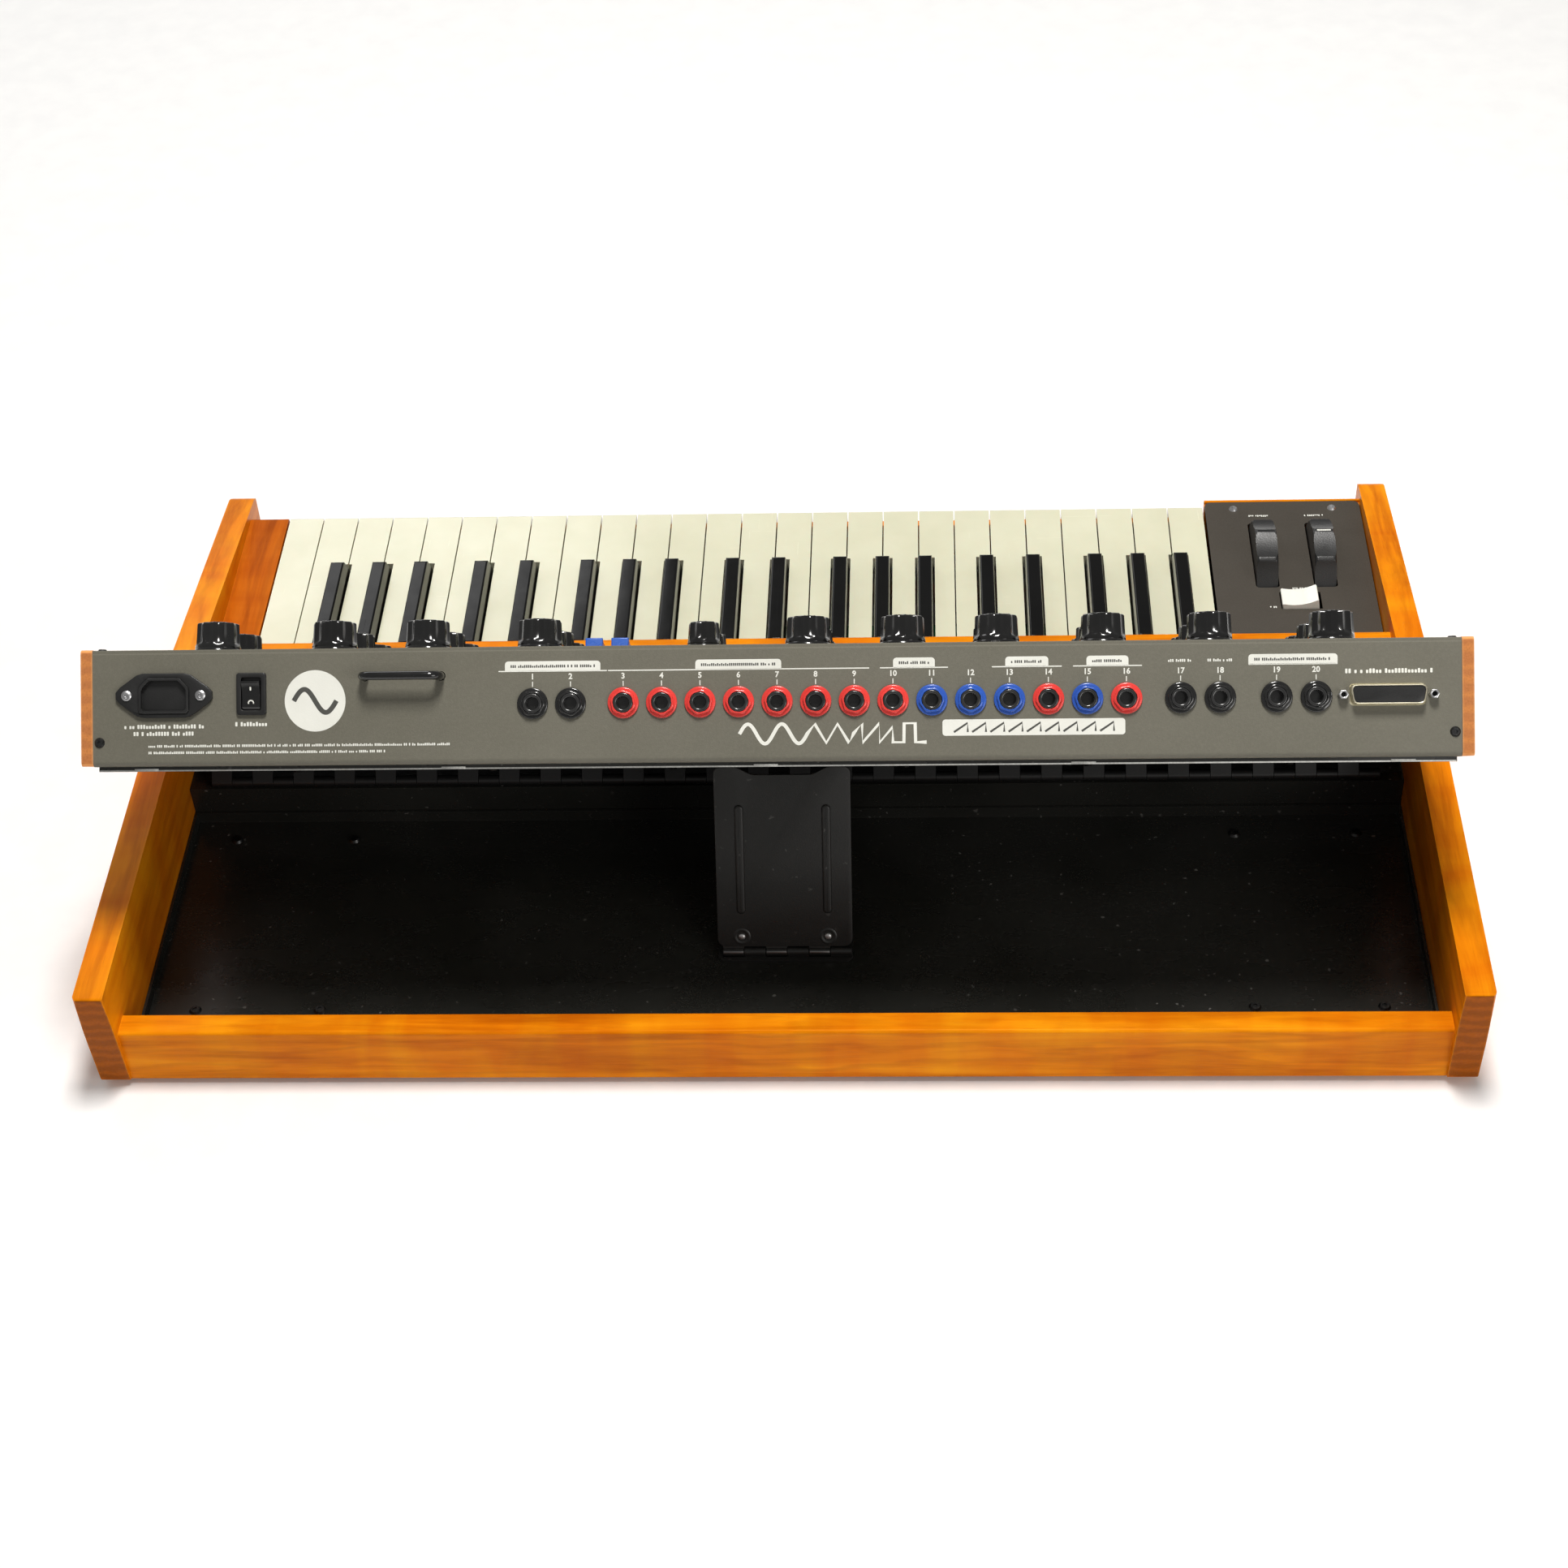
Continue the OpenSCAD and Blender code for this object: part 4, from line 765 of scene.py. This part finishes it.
def make_jacks():
    sockets = Build()
    for xs, name, slot, paint in ((RED_X, "jack_nuts_red", "nut_red", NUT_RED),
                                  (BLUE_X, "jack_nuts_blue", "nut_blue", NUT_BLUE),
                                  (BLACK_X, "jack_nuts_black", "nut_black", NUT_BLACK)):
        nuts = Build()
        for x in xs:
            draw = random.Random(int(x * 10))
            jack_nut(nuts, x, draw.uniform(0, math.pi / 3))
            place = rear_face(x, JACK_H)
            turns = [(4.98 + 0.3 * (k % 2), -1.5 + 0.3 * k) for k in range(15)]
            barrel = [(5.2, -2.0)] + turns + [(5.25, 3.0), (5.2, 3.3), (5.0, 3.52), (4.7, 3.6), (4.1, 3.6),
                                              (3.7, 3.45), (3.4, 3.1), (BORE, 2.6), (BORE, -19.0)]
            sockets.lathe(barrel, place, 0, 48, None, (False, False))
            sockets.lathe([(5.2, -2.0), (5.6, -1.95), (5.6, -1.6), (5.2, -1.6)], place, 0, 40, None, (False, False))
            sockets.prism(round_box(14, 16, 1.0), -24, -1.6, place, 0, 0.4)
            sockets.lathe([(BORE - 0.02, -6.2), (BORE - 0.5, -6.8), (BORE - 0.5, -9.0), (BORE - 0.02, -9.6)],
                          place, 1, 32, None, (False, False))
            # A deep black disc closes the bore: painted shade at its bottom.
            sockets.prism(circle(BORE - 0.03, 32), -19.1, -19.0, place, 2)
        nuts.finish(name + "_turned", "control_panel", (paint,), 32, (name,))
    sockets.finish("jack_sockets_detailed", "control_panel", (BUSH, BRASS, HOLE_SHADE), 35,
                   ("jack_sockets",))


def make_inlet():
    build = Build()
    place = rear_face(*IEC)
    flange = (arc(21.5, 0, 5.0, -62, 62, 8) + arc(12.6, 9.3, 2.6, 62, 90, 3) + arc(-12.6, 9.3, 2.6, 90, 118, 3)
              + arc(-21.5, 0, 5.0, 118, 242, 8) + arc(-12.6, -9.3, 2.6, 242, 270, 3)
              + arc(12.6, -9.3, 2.6, 270, 298, 3))
    mouth = (arc(11.2, -7.2, 0.9, -90, 0, 4) + arc(11.6, 3.2, 0.5, 0, 45, 2) + arc(7.6, 7.4, 0.5, 45, 90, 2)
             + arc(-7.6, 7.4, 0.5, 90, 135, 2) + arc(-11.6, 3.2, 0.5, 135, 180, 2)
             + arc(-11.2, -7.2, 0.9, 180, 270, 4))
    rim = (arc(12.4, -8.4, 1.2, -90, 0, 4) + arc(12.9, 3.9, 0.7, 0, 45, 2) + arc(8.4, 8.6, 0.7, 45, 90, 2)
           + arc(-8.4, 8.6, 0.7, 90, 135, 2) + arc(-12.9, 3.9, 0.7, 135, 180, 2)
           + arc(-12.4, -8.4, 1.2, 180, 270, 4))
    wide = 34
    outer = resample(flange, wide)
    hole = resample(rim, wide)
    build.ring(outer, hole, 0.0, 2.3, place, 0, 0.5)
    lip = resample(rim, 40)
    bore = resample(mouth, 40)
    build.loft([[(x, y, 0.0) for x, y in lip], [(x, y, 3.1) for x, y in lip],
                [(x, y, 3.4) for x, y in inset(lip, 0.3)], [(x, y, 3.4) for x, y in inset(bore, -0.25)],
                [(x, y, 3.1) for x, y in bore], [(x, y, -16.0) for x, y in bore]], place, 0, False, True)
    build.prism(round_box(27.4, 20, 2), -26, -0.05, place, 0, 0.2)
    for x, y in ((-7, -2.6), (7, -2.6), (0, 2.2)):
        build.prism(round_box(2.0, 4.2, 0.3, 2), -15.9, -2.6, place @ Matrix.Translation((x, y, 0)), 1, 0.6)
    for x in (-7, 0, 7):
        build.prism(round_box(4.6, 0.9, 0.2, 2), -33, -26, place @ Matrix.Translation((x, 0, 0)), 1, 0.2)
    for side in (-1, 1):
        screw(build, place @ Matrix.Translation((side * 20, 0, 2.3)), 2.9, 1.3, 2)
    build.finish("iec_inlet_detailed", "control_panel", (BLACK_SATIN, BRASS, STEEL), 32,
                 ("iec_inlet",))


def resample(outline, count):
    """The closed outline with count points an even distance apart, starting on its right-hand side."""
    points = [Vector(p) for p in outline] + [Vector(outline[0])]
    lengths = [0.0]
    for a, b in zip(points, points[1:]):
        lengths.append(lengths[-1] + (b - a).length)
    found = []
    k = 0
    for i in range(count):
        goal = lengths[-1] * i / count
        while lengths[k + 1] < goal:
            k += 1
        t = (goal - lengths[k]) / max(1e-9, lengths[k + 1] - lengths[k])
        found.append(tuple(points[k].lerp(points[k + 1], t)))
    start = min(range(count), key=lambda j: abs(math.atan2(found[j][1], found[j][0])))
    return found[start:] + found[:start]


def screw(build, place, r, tall, paint):
    """A pan-head screw with a recess."""
    profile = [(r, 0.0), (r, 0.25 * tall), (0.93 * r, 0.6 * tall), (0.75 * r, 0.87 * tall), (0.5 * r, tall),
               (0.42 * r, tall), (0.36 * r, 0.45 * tall), (0.02, 0.4 * tall)]

    def star(radius, z, t):
        if radius > 0.45 * r:
            return radius
        return radius * (0.62 + 0.5 * abs(math.cos(2 * t)) ** 3)

    build.lathe(profile, place, paint, 40, star)


def make_power_switch():
    build = Build()
    place = rear_face(*POWER)
    outer = resample(round_box(16, 22.6, 1.2), 48)
    inner = resample(round_box(10.6, 17.4, 0.5), 48)
    build.ring(outer, inner, 0.0, 2.0, place, 0, 0.5)
    build.loft([[(x, y, 1.9) for x, y in inner], [(x, y, -6) for x, y in inner]], place, 0, False, True)
    build.prism(round_box(13, 19.2, 0.6), -18, -0.05, place, 0, 0.2)
    build.finish("rocker_bezel_detailed", "control_panel", (BLACK_SATIN,), 32, ("rocker_bezel",))

    cap = Build()
    tip = place @ Matrix.Translation((0, 0, -1.5)) @ Matrix.Rotation(math.radians(9), 4, "X")
    rocker(cap, tip @ Matrix.Rotation(math.pi / 2, 4, "Z") @ Matrix.Translation((0, 0, -2.2)), 15, 9.9, 7.4, 0)
    on = tip @ Matrix.Translation((0, 3.9, rocker_height(3.9, 15, 7.4) - 2.2))
    cap.prism(round_box(0.8, 3.0, 0.2, 2), -0.05, 0.06, on, 1)
    off = tip @ Matrix.Translation((0, -4.3, rocker_height(4.3, 15, 7.4) - 2.2))
    cap.ring(circle(1.7, 32), circle(1.05, 32), -0.05, 0.08, off, 1, 0)
    cap.finish("power_rocker_marked", "power_rocker", (BLACK_GLOSS, PRINT), 32, ("power_rocker",))


def rocker_height(u, length, tall):
    """Height of a rocker's hollowed top at u from its middle."""
    end = (length / 2) ** 2
    return tall - 1.7 * (1 - u * u / end)


def rocker(build, place, length, wide, tall, paint):
    """A rocker cap along the frame's X, with a hollowed top and rounded edges."""
    rings = []
    steps = 14
    side = wide / 2
    for k in range(steps + 1):
        u = -length / 2 + length * k / steps
        near = length / 2 - abs(u)
        drop = 0.0 if near > 0.9 else 0.9 - math.sqrt(max(0.0, 0.81 - (0.9 - near) ** 2))
        z = rocker_height(u, length, tall) - drop
        ring = [(u, -side, 0), (u, side, 0), (u, side, z - 0.7), (u, side - 0.2, z - 0.2), (u, side - 0.7, z),
                (u, 0, z - 0.05), (u, -side + 0.7, z), (u, -side + 0.2, z - 0.2), (u, -side, z - 0.7)]
        rings.append(ring)
    build.loft(rings, place, paint)


def make_port():
    """A 25-way socket: a plated shell, its dark insert with two rows of contacts, and two hexagonal posts."""
    build = Build()
    place = rear_face(*PORT)
    plate = resample(round_box(53, 12.4, 2.2), 56)
    shell = resample(d_shape(39.2, 10.2, 2.4), 56)
    build.ring(plate, shell, -2.3, -1.55, place, 0, 0.25)
    inner = resample(d_shape(38.0, 9.0, 2.0), 56)
    build.loft([[(x, y, -1.8) for x, y in shell], [(x, y, 5.6) for x, y in shell],
                [(x, y, 5.85) for x, y in inset(shell, 0.15)], [(x, y, 6.0) for x, y in inset(shell, 0.35)],
                [(x, y, 5.8) for x, y in inner], [(x, y, 3.0) for x, y in inner]], place, 0, False, False)
    build.prism(inner, 2.2, 5.3, place, 1, 0.2)
    build.prism(d_shape(38, 9.4, 2), -8, -1.5, place, 0, 0.2)
    for row in (0, 1):
        for i in range(13 - row):
            spot = place @ Matrix.Translation(((i - (12 - row) / 2) * 2.76, 1.4 - row * 2.8, 5.3))
            # Each contact is a shallow dimple painted deep black: the painted shade of its hole.
            build.lathe([(0.95, -0.05), (0.9, 0.1), (0.72, 0.1), (0.62, -0.05), (0.02, -0.1)], spot, 2, 20)
    for side in (-1, 1):
        post = place @ Matrix.Translation((side * 23.52, 0, 0))
        post_outer = resample(circle(2.65, 6), 24)
        build.ring(post_outer, resample(circle(1.35, 24), 24), 0.02, 5.1, post, 3, 0.35)
        # The post's bore is closed by a deep black disc: painted shade.
        build.prism(circle(1.36, 24), 0.2, 1.0, post, 2)
        build.prism(circle(1.55, 24), -2.0, 0.3, post, 3)
    build.finish("accessory_port_detailed", "control_panel", (ZINC, BLACK_SATIN, HOLE_SHADE, STEEL), 32,
                 ("accessory_port",))


def d_shape(w, h, r):
    """The outline of a D connector: wider at the top."""
    lean = 0.9
    x, y = w / 2 - r, h / 2 - r
    return (arc(x - lean, -y, r, -90, -10, 5) + arc(x, y, r, -10, 90, 5)
            + arc(-x, y, r, 90, 190, 5) + arc(-x + lean, -y, r, 190, 270, 5))


def make_lock_bar():
    build = Build()
    place = rear_face(*BAR)
    r, out, bend = 2.35, 11.0, 5.0
    path = [(-BAR_HALF, 0, -4), (-BAR_HALF, 0, 0.5), (-BAR_HALF, 0, out - bend - 1)]
    path += [(-BAR_HALF + bend - bend * math.cos(t), 0, out - bend + bend * math.sin(t))
             for t in (math.pi / 2 * k / 8 for k in range(9))]
    path += [(x, 0, out) for x in (-10, 0, 10)]
    path += [(BAR_HALF - bend + bend * math.sin(t), 0, out - bend + bend * math.cos(t))
             for t in (math.pi / 2 * k / 8 for k in range(9))]
    path += [(BAR_HALF, 0, out - bend - 1), (BAR_HALF, 0, 0.5), (BAR_HALF, 0, -4)]
    build.tube(path, r, place, 0, 24)
    build.finish("lock_bar_bent", "control_panel", (BLACK_GLOSS,), 35, ("lock_bar",))


# ---------------------------------------------------------------- prop and the panel's lower lip

PROP_LEAN, PROP_LEN, PROP_W = 28.2, 113, 78.8
KNUCKLE = 12.6
PROP = at(0, 142.5, 10.5) @ Matrix.Rotation(math.radians(90 + PROP_LEAN), 4, "X") @ Matrix.Rotation(math.pi, 4, "Y")


def make_prop():
    """The leaning plate: the frame's Y runs from its pin to its tip and its Z faces the rear."""
    build = Build()
    half, tip = PROP_W / 2, PROP_LEN - 1
    notch = []
    for k in range(13):
        t = k / 12
        notch.append((28.5 - 13 * t, tip - 4.7 * t * t * (3 - 2 * t)))
    outline = (arc(-half + 5, 8.2, 5, 180, 270, 6) + arc(half - 5, 8.2, 5, 270, 360, 6)
               + arc(half - 4, tip - 4, 4, 0, 90, 6) + notch
               + [(-x, y) for x, y in reversed(notch)] + arc(-half + 4, tip - 4, 4, 90, 180, 6))
    build.prism(outline, -0.98, 0.98, PROP, 0, 0.35, 3, 0.3)
    for side in (-1, 1):
        rib = PROP @ Matrix.Translation((side * 25.2, 56.5, 0))
        build.prism(round_box(5.2, 66, 2.55, 6), 0.9, 2.3, rib, 0, 1.3, 5)
        spot = PROP @ Matrix.Translation((side * 25.2, 9.5, 0))
        build.lathe([(5.2, 0.94), (4.8, 1.12), (4.3, 1.28), (3.8, 1.26), (3.3, 1.08), (2.8, 1.0)], spot, 0, 40,
                    None, (False, False))
        build.lathe([(2.1, 0.95), (2.05, 1.35), (1.7, 1.75), (1.1, 1.98), (0.5, 2.06), (0.02, 2.08)], spot, 1, 32)
    along = Matrix.Rotation(math.pi / 2, 4, "Y")
    for k in (1, 3, 5):
        x = -half + 0.6 + k * KNUCKLE
        barrel = PROP @ Matrix.Translation((-x, 0, 0)) @ along.inverted()
        wide = KNUCKLE - 0.4
        build.lathe([(1.3, 0.0), (2.3, 0.0), (2.55, 0.25), (2.55, wide - 0.25), (2.3, wide), (1.3, wide)],
                    barrel, 0, 32, None, (False, False))
        # A thin bright steel strip along each barrel is a painted highlight.
        shine = PROP @ Matrix.Translation((-x - wide / 2, 0, 0)) @ Matrix.Rotation(math.radians(-8), 4, "X")
        build.prism(round_box(wide - 0.6, 1.3, 0.2, 2), 2.3, 2.56, shine, 2, 0.1)
        build.prism(round_box(wide, 5.4, 0.3, 2), -0.9, 0.9, PROP @ Matrix.Translation((-x - wide / 2, 3.9, 0)), 0)
    build.finish("prop_plate_pressed", "prop", (PROP_PAINT, STEEL, HIGHLIGHT_STEEL), 35, ("prop_plate",))


def make_pan_lip():
    """The bottom pan's turned edge under the rear face, with the small tabs of its screws. Its pale steel edge strip is
    a bare edge with a painted highlight, and the tabs are painted pale as a painted highlight.
    """
    build = Build()
    lip = PANEL @ Matrix.Translation((0, PANEL_D - 8, PANEL_UNDER))
    build.prism(round_box(722, 9, 0.6, 3), -2.6, -0.05, lip, 0)
    # Pale steel strip along the edge: bare edge and painted highlight.
    edge = PANEL @ Matrix.Translation((0, PANEL_D - 3.6, PANEL_UNDER))
    build.prism(round_box(721, 0.7, 0.2, 2), -2.55, -1.75, edge, 1)
    # The tabs are painted pale: a painted highlight.
    for x in (-333, -166, 2, 169, 335):
        tab = PANEL @ Matrix.Translation((x, PANEL_D - 3.5, PANEL_UNDER))
        build.prism(round_box(13, 0.9, 0.3, 2), -2.5, -1.1, tab, 1, 0.1)
    build.finish("panel_pan_lip", "control_panel", (BLACK_SHEET, LIP_HIGHLIGHT_STEEL), 35)


# ---------------------------------------------------------------- print, with plain bars where legends would be

LEGEND_LINE = 49.2


def tab_outline(wide, tall):
    r = 1.8
    return ([(-wide / 2, 0), (wide / 2, 0)] + arc(wide / 2 - r, tall - r, r, 0, 90, 5)
            + arc(-wide / 2 + r, tall - r, r, 90, 180, 5))


def group_tab(build, x, line_half, tab_half, seed):
    place = rear_face(x, LEGEND_LINE)
    build.bar(-line_half, line_half, -0.3, 0.3, place)
    build.prism(tab_outline(2 * tab_half, 5.3), PRINT_SUNK, PRINT_LIFT, place)
    build.greek(-tab_half + 3, tab_half - 3, 2.6, 1.5, place @ Matrix.Translation((0, 0, 0.05)), seed, 1)


def wave_line():
    """A line that passes through a sine, a triangle, a saw and a square, as (x, y) from the left."""
    points = [(36.0 * k / 48, 5.2 * math.sin(4 * math.pi * k / 48)) for k in range(49)]
    points += [(40, 5), (46, -5), (52, 5), (58, -5), (60.5, 0), (65, 5), (65.2, -5), (74, 5), (74.2, -5), (81, 3)]
    points += [(81.2, -5), (87, -5), (87.2, 5), (93, 5), (93.2, -5), (99, -5)]
    return points


def make_rear_print():
    build = Build()
    for number, x in enumerate(sorted(RED_X + BLUE_X + BLACK_X, reverse=True), 1):
        build.bar(-0.25, 0.25, 40.9, 43.6, rear_face(x, 0), 0, 0.1)
        build.label(str(number), 4.2, rear_face(x, 46.2, 0.03), 0)
    for x, line_half, tab_half in ((114.9, 29, 25.5), (16, 69.4, 22.8), (-77, 18, 11), (-136.4, 18.4, 11.3),
                                   (-178.7, 18.1, 11), (-275.5, 23.2, 23.2)):
        group_tab(build, x, line_half, tab_half, int(x))
    for x in (-216.9, -237.5):
        build.greek(-6.5, 6.5, 51.6, 1.5, rear_face(x, 0), int(-x))
    disc = rear_face(242.6, 34.5)
    build.prism(circle(16.4, 72), PRINT_SUNK, PRINT_LIFT, disc)
    wave = [(-11.5 + 23 * k / 40, 6.2 * math.sin(2 * math.pi * k / 40)) for k in range(41)]
    build.stroke(wave, 2.6, disc @ Matrix.Translation((0, 0, 0.06)), 1)
    build.stroke(wave_line(), 1.9, rear_face(15.6, 14.8))
    plate = rear_face(-139.8, 17.3)
    build.prism(round_box(96, 8.6, 1.6), PRINT_SUNK, PRINT_LIFT, plate)
    for k in range(9):
        x = -42 + 9.6 * k
        build.stroke([(x, -2.4), (x + 7.2, 2.4), (x + 7.3, -2.4)], 1.1, plate @ Matrix.Translation((0, 0, 0.06)), 1)
    build.greek(-81.5, 81.5, 10.9, 1.4, rear_face(251.5, 0), 5)
    build.greek(-81.5, 46, 7.4, 1.4, rear_face(251.5, 0), 6)
    build.greek(-9, 9, 22.4, 2.3, rear_face(POWER[0], 0), 2)
    build.greek(-22, 22, 21.4, 2.2, rear_face(IEC[0], 0), 3)
    build.greek(-17, 17, 17.6, 2.2, rear_face(IEC[0], 0), 4)
    build.greek(-22, 22, 45.2, 2.4, rear_face(PORT[0], 0), 7)
    build.finish("rear_face_print", "control_panel", (PRINT, PRINT_DARK), 30)


def make_face_print():
    """Dial scales, section lines and plain tabs on the control surface."""
    build = Build()
    for x, rows, large in KNOB_COLUMNS:
        for r in range(rows):
            place = top_face(x, ROW_FIRST + r * ROW_PITCH)
            reach = 14.2 if large else 10.6
            for k in range(11):
                spoke = place @ Matrix.Rotation(math.radians(150 - 30 * k), 4, "Z")
                build.bar(-0.2, 0.2, reach, reach + (2.2 if k % 5 == 0 else 1.3), spoke, 0, 0.08)
            for number, angle in ((0, 150), (5, 0), (10, -150)):
                a = math.radians(angle + 90)
                spot = Matrix.Translation(((reach + 4.4) * math.cos(a), (reach + 3.9) * math.sin(a), 0.03))
                build.label(str(number), 3.0, place @ spot, 0)
    for x in (269.5, 212, 155.7, 64, 8, -45.4, -96, -149.6, -206.4, -267):
        build.bar(-0.2, 0.2, -206, -8, top_face(x, 0), 0, 0.1)
    for k, (x, half) in enumerate(((305, 20), (212, 30), (110, 22), (36, 18), (-45, 30), (-121, 18), (-206, 34),
                                   (-300, 22))):
        build.prism(tab_outline(2 * half, 4.6), PRINT_SUNK, PRINT_LIFT, top_face(x, 9.5))
        build.greek(-half + 4, half - 4, 2.2, 1.4, top_face(x, 9.5, 0.05), k, 1)
    build.finish("control_surface_print", "control_panel", (PRINT, PRINT_DARK), 30)


PLATE_TOP = 52.6
WHEEL_Y, WHEEL_Z, WHEEL_R = -166.5, 39.6, 33


def make_controller_marks():
    build = Build()
    for x, y, half in ((-302.5, -207, 6.5), (-339.5, -207, 6.5), (-322, -132.2, 4.5), (-304, -114, 3)):
        build.greek(-half, half, 0, 1.7, at(x, y, PLATE_TOP), int(-x))
    build.finish("controller_print", "case", (PRINT,), 30)
    line = Build()
    steps, half, low, high = 5, 4.4, WHEEL_R - 0.1, WHEEL_R + 0.04
    turns = [math.radians(88.9 + 2.2 * k / steps) for k in range(steps + 1)]
    line.loft([[(x, r * math.cos(a), r * math.sin(a)) for x, r in
                ((-half, low), (half, low), (half, high), (-half, high))] for a in turns], at(-339.5, WHEEL_Y, WHEEL_Z))
    line.finish("pitch_wheel_line", "pitch_wheel", (PRINT,), 30)


make_knobs()
make_jacks()
make_inlet()
make_power_switch()
make_port()
make_lock_bar()
make_prop()
make_pan_lip()
make_rear_print()
make_face_print()
make_controller_marks()
make_camera()
make_studio()
